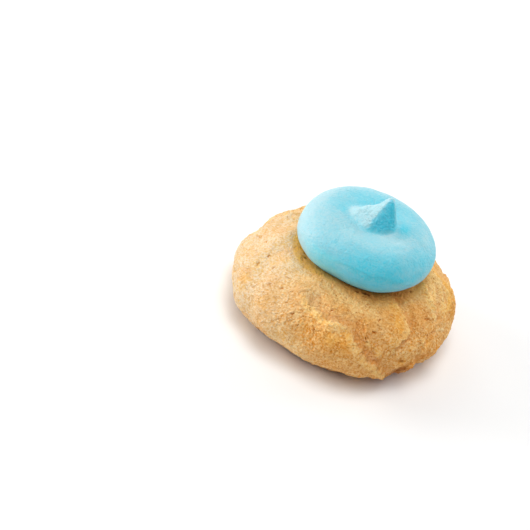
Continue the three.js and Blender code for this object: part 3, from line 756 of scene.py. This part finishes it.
def peak_height(x, y):
    """How far the peak stands over the dish."""
    x = x - ICING_CENTRE[0] - PEAK_AT[0]
    y = y - ICING_CENTRE[1] - PEAK_AT[1]
    # the peak: steep at the front, hollow at the right, with a ridge running down to its left
    around = np.degrees(np.arctan2(y, x))
    table = np.array(PEAK_FOOT, float)
    fine_turn = np.arange(-180, 180, 2.0)
    w = np.exp(-((np.arange(-16, 17) / 5.5) ** 2))
    foot, power = [np.interp(fine_turn, table[:, 0], table[:, k], period=360) for k in (1, 2)]
    foot, power = [np.interp(around, fine_turn, sum(k * np.roll(f, i) for i, k in zip(range(-16, 17), w / w.sum())), period=360)
                   for f in (foot, power)]
    d0 = (np.hypot(x, y) ** 3 + PEAK_TIP_RADIUS**3) ** (1 / 3) - PEAK_TIP_RADIUS
    t = d0 / ((foot**3 + PEAK_TIP_RADIUS**3) ** (1 / 3) - PEAK_TIP_RADIUS)
    peak = PEAK_HEIGHT * (FOOT_SOFT * np.logaddexp(0, (1 - t) / FOOT_SOFT)) ** power
    c, d = math.cos(math.radians(RIDGE_TURN)), math.sin(math.radians(RIDGE_TURN))
    along, across = x * c + y * d - RIDGE_AT, y * c - x * d
    peak = peak + RIDGE_HIGH * bell(along, np.where(along < 0, RIDGE_IN, RIDGE_OUT)) * bell(across, RIDGE_WIDE)
    peak = peak + FLARE_HIGH * bell((around - FLARE_TURN + 180) % 360 - 180, 42) * smooth(d0 / 3) * smooth((6.2 - d0) / 3.0)
    return peak


def icing():
    turn = np.linspace(0, 2 * PI, ICE_TURNS, endpoint=False)
    R = icing_radius(turn)
    rings = []
    SINK = 0.25
    for share in (0.2, 0.45, 0.7, 0.88, 1.0):
        p = about(share * SEAT_SHARE * R, turn, np.zeros_like(turn))
        p[:, 2] = top_height(np.hypot(p[:, 0], p[:, 1]), np.arctan2(p[:, 1], p[:, 0])) - SINK
        rings.append(p)
    foot = rings[-1][:, 2]
    seat = math.acos(SEAT_SHARE ** (1 / ICING_ROUND))
    for share in np.linspace(0, 1, 31)[1:]:
        a = seat * (1 - share)
        fall = math.sin(a) / math.sin(seat)
        z = ICING_WIDE_HEIGHT - ICING_SAG * math.sin(a)
        z = z + (foot - (ICING_WIDE_HEIGHT - ICING_SAG * math.sin(seat))) * fall**6
        rings.append(about(R * math.cos(a) ** ICING_ROUND, turn, z))
    for share in np.linspace(0, 1, 41)[1:]:
        b = share * PI / 2
        r = CREST_RADIUS + (R - CREST_RADIUS) * max(0, math.cos(b)) ** 0.92
        rings.append(about(r, turn, ICING_WIDE_HEIGHT + (CREST_HEIGHT - ICING_WIDE_HEIGHT) * math.sin(b)))
    # dish and peak, on rings round the tip
    tip = np.array([ICING_CENTRE[0] + PEAK_AT[0], ICING_CENTRE[1] + PEAK_AT[1]])
    edge = about(CREST_RADIUS, turn, np.full_like(turn, CREST_HEIGHT))
    for t in 1 - np.linspace(0, 1, 97)[1:-1] ** 0.85:
        p = np.concatenate([tip + (edge[:, :2] - tip) * t, np.zeros((ICE_TURNS, 1))], 1)
        p[:, 2] = dish_height(p[:, 0], p[:, 1]) + peak_height(p[:, 0], p[:, 1])
        rings.append(p)
    end = np.array([tip[0], tip[1], float(dish_height(tip[0], tip[1]) + peak_height(tip[0], tip[1]))])
    rings = np.array(rings)
    # set icing is never quite even: broad waves, fine unevenness, a rougher peak, one dent and the step low on the front
    N = grid_normals(rings)
    x, y, z = rings[..., 0], rings[..., 1], rings[..., 2]
    flat = rings.reshape(-1, 3)
    on_peak = smooth((z - CREST_HEIGHT) / 1.5)
    az = np.degrees(np.arctan2(y - ICING_CENTRE[1], x - ICING_CENTRE[0]))
    wave = 0.16 * fbm(flat, 5.5, 2, seed=81) + 0.07 * fbm(flat, 2.2, 2, seed=82)
    wave = wave.reshape(z.shape) + on_peak * 0.17 * fbm(flat, 1.3, 3, gain=0.75, seed=83).reshape(z.shape)
    wave = wave + on_peak * 0.07 * fbm(flat, 0.7, 2, seed=86).reshape(z.shape)
    line = np.interp(az, [p[0] for p in STEP_LINE], [p[1] for p in STEP_LINE])
    line = line + 0.5 * fbm(flat, 2.8, 3, seed=84).reshape(z.shape)
    span = smooth((az + 114) / 14) * smooth((-26 - az) / 12)
    over = z - line
    step = span * smooth((over + 0.3) / 0.6) * smooth((3.4 - over) / 3.2)
    dent = bell(np.hypot(x - ICING_CENTRE[0] - 12.6, y - ICING_CENTRE[1] + 2.4), 1.5)
    above = smooth((z - 18.5) / 2.0)
    rings = rings + (N * (above * (wave + 0.16 * step - 0.28 * dent))[..., None])

    # painted shade in a deeper blue where the icing faces the front, painted light in a paler blue to the left and
    # behind and below the step, and a painted highlight at the tip
    for _ in range(4):
        N = (np.roll(N, 1, 1) + np.roll(N, -1, 1) + 2 * N) / 4
    pale = 0.413 - 0.182 * N[..., 0] + 0.243 * N[..., 1] - 0.079 * N[..., 2]
    rise = smooth((z - CREST_HEIGHT) / 1.2)
    round_tip = np.degrees(np.arctan2(y - tip[1], x - tip[0])) + 14 * fbm(flat, 1.1, 2, seed=87).reshape(z.shape)
    front = smooth((round_tip + 138) / 32) * (0.3 * smooth((25 - round_tip) / 35) + 0.7 * smooth((-10 - round_tip) / 26))
    out = np.hypot(x - ICING_CENTRE[0], y - ICING_CENTRE[1])
    over_dish = smooth(0.12 + peak_height(x, y) / 0.8) * (out < CREST_RADIUS)
    tail = smooth((-120 - round_tip) / 18) + smooth((round_tip - 100) / 30)
    off_ridge = (y - tip[1]) + 0.7 * fbm(flat, 1.3, 2, seed=88).reshape(z.shape)
    pale = pale + 0.14 * tail * over_dish - 0.1 * bell(off_ridge + 3.2, 1.7) * over_dish * smooth((tip[0] - 3.2 - x) / 2) - 0.02 * front * rise + 0.2 * smooth((z - 34.5) / 0.7)
    pale = pale + 0.07 * rise * smooth((round_tip + 140) / 15) * smooth((-78 - round_tip) / 35)
    pale = pale - 0.05 * bell(np.hypot(x - tip[0] - 4.0, y - tip[1] + 0.6), 1.6) - 0.13 * bell(np.hypot(x - tip[0] - 4.6, y - tip[1] - 1.0), 2.0)
    inside = smooth((8.8 - out) / 2.0) * (1 - on_peak) * smooth((y - ICING_CENTRE[1] - 0.1 * x + 2.6) / 3.0)
    pale = pale - 0.05 * inside - 0.09 * smooth((N[..., 1] - 0.1) / 0.4) + 0.03 * smooth((-N[..., 0] - 0.1) / 0.5)
    pale = pale - 0.06 * smooth((out - 5.0) / 2) * smooth((12.8 - out) / 2) * smooth((y - ICING_CENTRE[1] + 2.0) / 2.5)
    low = smooth((0.5 - over + 0.9 * fbm(flat, 3.2, 3, seed=85).reshape(z.shape)) / 1.3)
    pale = pale - 0.04 * smooth((21.5 - z) / 3.0) - 0.045 * bell(az + 158, 24) * bell(z - 25.6, 1.8) - 0.035 * bell(az - 160, 20) * bell(z - 26.5, 1.5)
    across = smooth((az + 100) / 12) * smooth((-22 - az) / 12)
    pale = pale + across * (0.03 * bell(z - 26.3, 0.8) - 0.07 * bell(z - 24.2, 0.9)) + 0.03 * bell(az + 38, 14) * bell(z - 24.6, 1.6)
    pale = pale + 0.12 * smooth((az + 85) / 40) * smooth((10 - az) / 30) * smooth((25.5 - z) / 2.5)
    pale = pale - 0.01 * smooth((-N[..., 1] - 0.2) / 0.4) * smooth((26.5 - z) / 2.0) * smooth((z - 22.5) / 2.0)
    pale = pale - 0.055 * smooth((az + 100) / 12) * smooth((-12 - az) / 15) * smooth((out - 10.6) / 1.4) * smooth((z - 25.6) / 0.9)
    pale = pale - 0.085 * bell(az + 45, 17) * bell(out - 9.8, 1.0) - 0.035 * bell(az + 125, 30) * bell(z - 24.6, 1.0) - 0.03 * smooth((y - 4) / 4) * smooth((z - 27) / 1)
    pale = pale + 0.04 * bell(az + 117, 17) * smooth((z - 23.2) / 1.0) * smooth((27.6 - z) / 1.0)
    pale = pale - 0.03 * step + 0.04 * low * smooth((-az - 20) / 25) + 0.05 * smooth((az + 62) / 25) * smooth((-10 - az) / 20)
    pale = pale - 0.03 * bell(az + 83, 16) * bell(z - 26.6, 0.9) + 0.035 * bell(az + 51, 10) * bell(z - 25.6, 1.2)
    pale = pale + 0.07 * bell(az - 3, 13) * bell(out - 12.4, 1.6) - 0.05 * bell(az + 19, 6) * bell(out - 12.2, 1.0) + 0.02 * bell(az + 143, 10) * bell(z - 24.9, 1.5)
    # the share of painted shade: 0 gives the lit blue, 1 the shaded blue
    shade_and_tone = np.clip((0.45 - pale) / 0.36, 0, 1.2)
    verts, quads, tris = closed_grid(rings, np.array([ICING_CENTRE[0], ICING_CENTRE[1], PRINT_FLOOR - SINK]), end)
    print("icing", len(verts), "verts", len(quads) * 2 + len(tris), "tris")
    # painted shade low on the front and on the peak's front face, in a deeper blue
    low_shade = smooth((24.2 - z) / 1.8) * (0.05 + 0.55 * smooth((az + 142) / 26) * smooth((-22 - az) / 22)) * (1 - 0.35 * smooth((21.3 - z) / 1.5))
    low_shade = np.maximum(low_shade, 0.6 * front * rise * (0.25 + 0.75 * smooth((-28 - round_tip) / 30)))
    # painted light: a paler blue on the peak's tail, the right of the crest, the low left front, the front of the dish
    # and the peak's front face
    painted_light = 0.22 * tail * over_dish + 0.3 * bell(az - 3, 13) * bell(out - 12.4, 1.6) + 1.3 * bell(az + 118, 17) * smooth((z - 19.5) / 1.5) * smooth((25.8 - z) / 1.5)
    painted_light = painted_light + 0.25 * smooth((11.0 - out) / 2) * smooth((-1.5 - (y - ICING_CENTRE[1])) / 4) * (1 - 0.6 * front * rise)
    painted_light = painted_light + 0.5 * front * rise * (0.2 + 0.8 * smooth((-28 - round_tip) / 30))
    attributes = {
        "shade_and_tone": np.concatenate([[0.5], shade_and_tone.ravel(), [0.2]]),
        "low": np.concatenate([[1.0], low_shade.ravel(), [0.0]]),
        "rough": np.concatenate([[0.0], on_peak.ravel(), [1.0]]),
        "painted_light": np.concatenate([[0.0], painted_light.ravel(), [0.3]]),
    }
    return make_mesh("icing_dollop", verts, quads, tris, attributes)


# ---------------------------------------------------------------- materials
class Nodes:
    def __init__(self, name):
        self.mat = bpy.data.materials.new(name)
        self.mat.use_nodes = True
        self.t = self.mat.node_tree
        self.t.nodes.clear()
        self.out = self.t.nodes.new("ShaderNodeOutputMaterial")
        self.bsdf = self.t.nodes.new("ShaderNodeBsdfPrincipled")
        self.t.links.new(self.bsdf.outputs[0], self.out.inputs[0])
        self.coord = self.t.nodes.new("ShaderNodeTexCoord").outputs["Object"]

    def link(self, a, b):
        self.t.links.new(a, b)

    def attr(self, name):
        n = self.t.nodes.new("ShaderNodeAttribute")
        n.attribute_type = "GEOMETRY"
        n.attribute_name = name
        return n.outputs["Fac"]

    def noise(self, size_mm, detail=2.0, rough=0.5, distortion=0.0, offset=(0, 0, 0)):
        n = self.t.nodes.new("ShaderNodeTexNoise")
        n.inputs["Scale"].default_value = 1000.0 / size_mm
        n.inputs["Detail"].default_value = detail
        n.inputs["Roughness"].default_value = rough
        n.inputs["Distortion"].default_value = distortion
        m = self.t.nodes.new("ShaderNodeMapping")
        m.inputs["Location"].default_value = offset
        self.link(self.coord, m.inputs["Vector"])
        self.link(m.outputs[0], n.inputs["Vector"])
        return n.outputs["Fac"]

    def voronoi(self, size_mm, out="Distance", rnd=1.0, offset=(0, 0, 0)):
        n = self.t.nodes.new("ShaderNodeTexVoronoi")
        n.inputs["Scale"].default_value = 1000.0 / size_mm
        n.inputs["Randomness"].default_value = rnd
        m = self.t.nodes.new("ShaderNodeMapping")
        m.inputs["Location"].default_value = offset
        self.link(self.coord, m.inputs["Vector"])
        self.link(m.outputs[0], n.inputs["Vector"])
        return n.outputs[out]

    def ramp(self, value, lo, hi, a=0.0, b=1.0, smooth_=True):
        n = self.t.nodes.new("ShaderNodeMapRange")
        n.interpolation_type = "SMOOTHSTEP" if smooth_ else "LINEAR"
        n.inputs["From Min"].default_value = lo
        n.inputs["From Max"].default_value = hi
        n.inputs["To Min"].default_value = a
        n.inputs["To Max"].default_value = b
        self.link(value, n.inputs["Value"])
        return n.outputs["Result"]

    def math(self, op, a, b=None, c=None, clamp=False):
        n = self.t.nodes.new("ShaderNodeMath")
        n.operation = op
        n.use_clamp = clamp
        for s, v in zip(n.inputs, (a, b, c)):
            if v is None:
                continue
            if isinstance(v, (int, float)):
                s.default_value = v
            else:
                self.link(v, s)
        return n.outputs[0]

    def mix(self, fac, a, b, mode="MIX"):
        n = self.t.nodes.new("ShaderNodeMix")
        n.data_type = "RGBA"
        n.blend_type = mode
        n.clamp_factor = True
        for s, v in ((n.inputs[0], fac), (n.inputs[6], a), (n.inputs[7], b)):
            if isinstance(v, (int, float)):
                s.default_value = v
            elif isinstance(v, tuple):
                s.default_value = (*v, 1.0)
            else:
                self.link(v, s)
        return n.outputs[2]

    def bump(self, height, strength, distance_mm, normal=None):
        n = self.t.nodes.new("ShaderNodeBump")
        n.inputs["Strength"].default_value = strength
        n.inputs["Distance"].default_value = distance_mm * MM
        self.link(height, n.inputs["Height"])
        if normal is not None:
            self.link(normal, n.inputs["Normal"])
        return n.outputs[0]


def srgb(r, g, b):
    f = lambda c: c / 12.92 if c <= 0.04045 else ((c + 0.055) / 1.055) ** 2.4
    return (f(r / 255), f(g / 255), f(b / 255))


def dough_material():
    n = Nodes("baked_dough")
    b = n.bsdf
    wide = n.noise(4.5, 3, 0.6, 0.3)
    patch = n.noise(5.5, 3, 0.6, 0.6, (0.03, 0.0, 0.05))
    mid = n.noise(1.4, 1, 0.6, 0.3, (0.0, 0.04, 0.0))
    small = n.noise(0.44, 1, 0.5)
    bake = n.attr("bake")
    tone = n.math("MULTIPLY_ADD", wide, 0.8, n.math("MULTIPLY_ADD", mid, 0.7, n.math("MULTIPLY", small, 2.3)))
    tone = n.ramp(tone, 1.9 - 0.54, 1.9 + 0.54, smooth_=False)
    pale = n.mix(tone, srgb(224, 181, 112), srgb(235, 216, 189))
    gold = n.mix(tone, srgb(220, 139, 32), srgb(250, 213, 147))
    gold = n.mix(n.math("MULTIPLY", n.ramp(n.attr("level"), 0.3, 0.75), 0.3), gold, srgb(255, 226, 160))
    colour = n.mix(bake, pale, gold)
    colour = n.mix(n.ramp(patch, 0.5, 0.72, 0, 0.35), colour, srgb(242, 176, 88))
    colour = n.mix(n.math("MULTIPLY", n.attr("toast"), 0.62), colour, n.mix(tone, srgb(206, 122, 34), srgb(236, 170, 82)))
    colour = n.mix(n.math("MULTIPLY", n.attr("warm"), 0.7), colour, n.mix(tone, srgb(238, 148, 34), srgb(255, 196, 92)))
    colour = n.mix(n.math("MULTIPLY", n.attr("fair"), 0.5), colour, n.mix(tone, srgb(242, 194, 112), srgb(253, 231, 186)))
    # sugar specks, and orange-brown grit
    speck = n.voronoi(0.8, offset=(0.02, 0.03, 0))
    colour = n.mix(n.ramp(speck, 0.22, 0.08, 0, 0.4), colour, srgb(255, 244, 206))
    grit = n.voronoi(1.1, offset=(0.05, 0.01, 0))
    colour = n.mix(n.ramp(grit, 0.24, 0.1, 0, 0.45), colour, srgb(222, 144, 60))
    # painted highlight along the ridge crests and flaked lines, in a paler gold
    colour = n.mix(n.ramp(n.attr("crest"), 0.1, 0.7, 0, 0.75), colour, n.mix(tone, srgb(251, 191, 99), srgb(254, 220, 153)))
    # painted shade in the furrows beside the ridges, patchy, in an orange-brown
    hollow = n.math("MULTIPLY", n.ramp(n.attr("furrow"), 0.1, 0.5, 0, 0.5), n.ramp(mid, 0.36, 0.6, 0.3, 1.0))
    colour = n.mix(hollow, colour, srgb(216, 142, 72))
    # painted shade in the broad hollows, in an orange-brown
    colour = n.mix(n.ramp(n.attr("cav2"), -0.05, -0.4, 0, 0.45), colour, srgb(224, 146, 62))
    # thin cracks
    where = n.noise(2.0, 2, 0.5, 0, (0.06, 0.02, 0.03))
    line = n.math("ABSOLUTE", n.math("SUBTRACT", n.noise(1.8, 3, 0.6, 0.4, (0.0, 0.08, 0.02)), 0.5))
    line2 = n.math("ABSOLUTE", n.math("SUBTRACT", n.noise(1.1, 2, 0.6, 0.4, (0.09, 0.0, 0.02)), 0.5))
    crack = n.math("MULTIPLY", n.ramp(line, 0.022, 0.006), n.ramp(where, 0.54, 0.6))
    crack2 = n.math("MULTIPLY", n.ramp(line2, 0.03, 0.01), n.ramp(where, 0.46, 0.4))
    crack = n.math("MAXIMUM", n.math("MULTIPLY", crack, 0.8), n.math("MULTIPLY", crack2, 0.45))
    hole = n.math("MULTIPLY", n.ramp(n.voronoi(1.6, offset=(0.04, 0.07, 0)), 0.14, 0.06), n.ramp(mid, 0.56, 0.46))
    crack = n.math("MAXIMUM", crack, hole)
    crack = n.math("MAXIMUM", crack, n.ramp(n.attr("pit"), 0.15, 0.7), clamp=True)
    colour = n.mix(n.math("MULTIPLY", n.attr("rim"), 0.76), colour, n.mix(tone, srgb(233, 162, 54), srgb(250, 198, 98)))
    # cracks, pits and small holes: a browner orange, partly the crumb's own colour and partly painted shade inside them
    colour = n.mix(n.math("MULTIPLY", crack, 0.9), colour, n.mix(bake, srgb(214, 148, 54), srgb(200, 114, 30)))
    # painted shade under the icing's overhang, in a yellow-olive brown
    icing_shade_colour = n.mix(bake, srgb(236, 178, 44), srgb(240, 180, 96))
    icing_shade_share = n.math("MULTIPLY", n.ramp(n.attr("near"), 0.2, 1.0, 0, 0.8), n.ramp(small, 0.4, 0.56, 0.45, 1.0))
    colour = n.mix(icing_shade_share, colour, icing_shade_colour)
    # painted contact shadow along the icing's front edge, in a deep orange-brown
    colour = n.mix(n.math("MULTIPLY", n.attr("contact_shadow"), n.ramp(small, 0.42, 0.58, 1.0, 0.72)), colour, srgb(200, 118, 44))
    edge = n.math("ADD", n.attr("level"), n.ramp(n.noise(4.0, 2, 0.5, 0, (0.07, 0, 0)), 0.3, 0.7, -0.2, 0.2))
    # painted shade in the deep holes by the icing's edge and in the ragged edge, in a dark brown
    colour = n.mix(n.ramp(n.attr("hole"), 0.15, 0.55, 0, 0.7), colour, srgb(136, 74, 28))
    edge = n.math("SUBTRACT", edge, n.attr("scorch"))
    colour = n.mix(n.ramp(edge, -0.4, -0.95, 0, 0.75), colour, srgb(158, 88, 36))
    n.link(colour, b.inputs["Base Color"])
    n.link(n.ramp(small, 0.3, 0.7, 0.8, 0.95), b.inputs["Roughness"])
    b.inputs["Specular IOR Level"].default_value = 0.25
    b.inputs["Subsurface Weight"].default_value = 0.05
    b.inputs["Subsurface Radius"].default_value = (1.0, 0.5, 0.2)
    b.inputs["Subsurface Scale"].default_value = 0.0006
    crumb = n.voronoi(0.8, offset=(0.01, 0, 0))
    h = n.math("MULTIPLY_ADD", small, 1.0, n.math("MULTIPLY", mid, 0.4))
    h = n.math("MULTIPLY_ADD", crumb, -0.35, h)
    h = n.math("MULTIPLY_ADD", crack, -0.3, h)
    n.link(n.bump(h, 0.8, 0.5), b.inputs["Normal"])
    return n.mat


# the icing's blue, linear, in a lit and a shaded version for the painted light and shade
LIN_BLUE_LIT = (0.425, 0.655, 0.715)
LIN_BLUE_SHADED = (0.08, 0.575, 0.715)
# a deeper blue for the painted shade low on the front
LIN_LOW_SHADE = (0.03, 0.60, 0.86)
# the paler blue of the painted light, in a lit and a shaded version
LIN_PAINTED_LIGHT = (0.45, 0.83, 0.87)
LIN_PAINTED_LIGHT_SHADED = (0.08, 0.74, 0.86)


def icing_material():
    n = Nodes("blue_icing")
    b = n.bsdf
    big = n.noise(6.0, 4, 0.6, 0.4)
    blot = n.noise(1.6, 4, 0.7, 0.5, (0.02, 0.01, 0.0))
    grain = n.noise(0.44, 1, 0.5)
    # the painted shade from the mesh, with random tone in the blue on top
    shade_and_tone = n.math("ADD", n.attr("shade_and_tone"), n.ramp(big, 0.3, 0.7, -0.07, 0.07, smooth_=False))
    shade_and_tone = n.math("ADD", shade_and_tone, n.ramp(blot, 0.3, 0.7, -0.13, 0.13, smooth_=False))
    shade_and_tone = n.math("ADD", shade_and_tone, n.ramp(grain, 0.3, 0.7, -0.12, 0.12, smooth_=False), clamp=True)
    colour = n.mix(shade_and_tone, LIN_BLUE_LIT, LIN_BLUE_SHADED)
    # painted shade low on the front and on the peak's front face
    colour = n.mix(n.math("MULTIPLY", n.attr("low"), 0.85), colour, LIN_LOW_SHADE)
    # painted light in a paler blue
    painted_light_share = n.math("MULTIPLY", n.attr("painted_light"), 0.45)
    colour = n.mix(painted_light_share, colour, n.mix(shade_and_tone, LIN_PAINTED_LIGHT, LIN_PAINTED_LIGHT_SHADED))
    n.link(colour, b.inputs["Base Color"])
    n.link(n.ramp(grain, 0.3, 0.7, 0.5, 0.62), b.inputs["Roughness"])
    b.inputs["Specular IOR Level"].default_value = 0.35
    b.inputs["Subsurface Weight"].default_value = 0.15
    b.inputs["Subsurface Radius"].default_value = (0.4, 1.0, 1.2)
    b.inputs["Subsurface Scale"].default_value = 0.0008
    dots = n.voronoi(0.8, offset=(0.03, 0.05, 0))
    rough = n.math("MULTIPLY_ADD", n.attr("rough"), 0.3, 1.0)
    h = n.math("MULTIPLY_ADD", grain, rough, n.math("MULTIPLY", blot, 0.4))
    h = n.math("MULTIPLY_ADD", dots, -0.4, h)
    n.link(n.bump(h, 0.58, 0.4), b.inputs["Normal"])
    return n.mat


def floor_material():
    n = Nodes("floor")
    n.link(n.mix(n.ramp(n.noise(60.0, 2, 0.5), 0.3, 0.7), (0.93, 0.93, 0.93), (0.95, 0.95, 0.95)), n.bsdf.inputs["Base Color"])
    n.bsdf.inputs["Roughness"].default_value = 0.9
    n.bsdf.inputs["Specular IOR Level"].default_value = 0.1
    return n.mat


# ---------------------------------------------------------------- put together
biscuit = dough()
biscuit.data.materials.append(dough_material())
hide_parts("dough")
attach(biscuit, "root")

dollop = icing()
dollop.data.materials.append(icing_material())
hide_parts("icing")
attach(dollop, "root")

# ---------------------------------------------------------------- floor, light and camera
bpy.ops.mesh.primitive_plane_add(size=6.0, location=(0, 0, 0))
floor = bpy.context.object
floor.name = "floor"
floor.data.materials.append(floor_material())

scene = bpy.context.scene
scene.view_settings.view_transform = "Standard"
world = bpy.data.worlds.new("studio")
scene.world = world
world.use_nodes = True
world.node_tree.nodes["Background"].inputs["Color"].default_value = (1.0, 1.0, 1.0, 1.0)
world.node_tree.nodes["Background"].inputs["Strength"].default_value = 0.238

# The camera looks down on the cookie by CAMERA_TILT and is turned about its line of sight by CAMERA_ROLL.
CAMERA_TILT = math.radians(36.0)
CAMERA_ROLL = math.radians(21.155)
CAMERA_FAR = 0.400
PX_PER_M = 4365.0  # at the target's distance, in the 530-pixel frame
TARGET = Vector((CAD_SHIFT[0] * MM, CAD_SHIFT[1] * MM, 0.016))
TARGET_PX = (356.52, 262.10)
FRAME = 530

cam_data = bpy.data.cameras.new("camera")
cam = bpy.data.objects.new("camera", cam_data)
scene.collection.objects.link(cam)
scene.camera = cam
cam_data.sensor_width = 36.0
focal_px = PX_PER_M * CAMERA_FAR
cam_data.lens = focal_px / FRAME * 36.0
cam_data.clip_start, cam_data.clip_end = 0.01, 20.0

back = Vector((0, -math.cos(CAMERA_TILT), math.sin(CAMERA_TILT)))
right0 = Vector((1, 0, 0))
up0 = back.cross(right0)
right1 = right0 * math.cos(CAMERA_ROLL) + up0 * math.sin(CAMERA_ROLL)
up1 = up0 * math.cos(CAMERA_ROLL) - right0 * math.sin(CAMERA_ROLL)
# Aim past the target, so that it lies right of the middle of the frame.
dx, dy = TARGET_PX[0] - FRAME / 2, FRAME / 2 - TARGET_PX[1]
look = (-back * focal_px - right1 * dx - up1 * dy).normalized()
new_back = -look
new_right = (right1 - new_back * right1.dot(new_back)).normalized()
new_up = new_back.cross(new_right)

m = Matrix((new_right, new_up, new_back)).transposed().to_4x4()
m.translation = TARGET + back * CAMERA_FAR
cam.matrix_world = m


def area(name, towards, far, size, power, colour=(1, 1, 1), size_y=None):
    """A soft light, `towards` the light as seen from the cookie."""
    d = Vector(towards).normalized()
    light = bpy.data.lights.new(name, "AREA")
    light.shape = "RECTANGLE"
    light.size = size
    light.size_y = size_y or size
    light.energy = power
    light.color = colour
    ob = bpy.data.objects.new(name, light)
    scene.collection.objects.link(ob)
    ob.location = Vector((0, 0, 0.02)) + d * far
    ob.rotation_mode = "QUATERNION"
    ob.rotation_quaternion = d.to_track_quat("Z", "Y")
    return ob


def lit(turn, height):
    """A direction, from degrees round the cookie and degrees above the floor."""
    t, h = math.radians(turn), math.radians(height)
    return (math.cos(h) * math.cos(t), math.cos(h) * math.sin(t), math.sin(h))


area("key", lit(180, 13), 0.9, 0.5, 5.3, (1.0, 0.99, 0.97))
area("rim", lit(45, 13), 0.9, 0.5, 3.2)
area("top", lit(0, 90), 0.9, 0.5, 3.65)
area("back", lit(90, 13), 0.9, 0.5, 1.3)
area("back_left", lit(135, 36), 0.9, 0.5, 1.2)
area("front", lit(270, 60), 0.9, 0.5, 1.95)
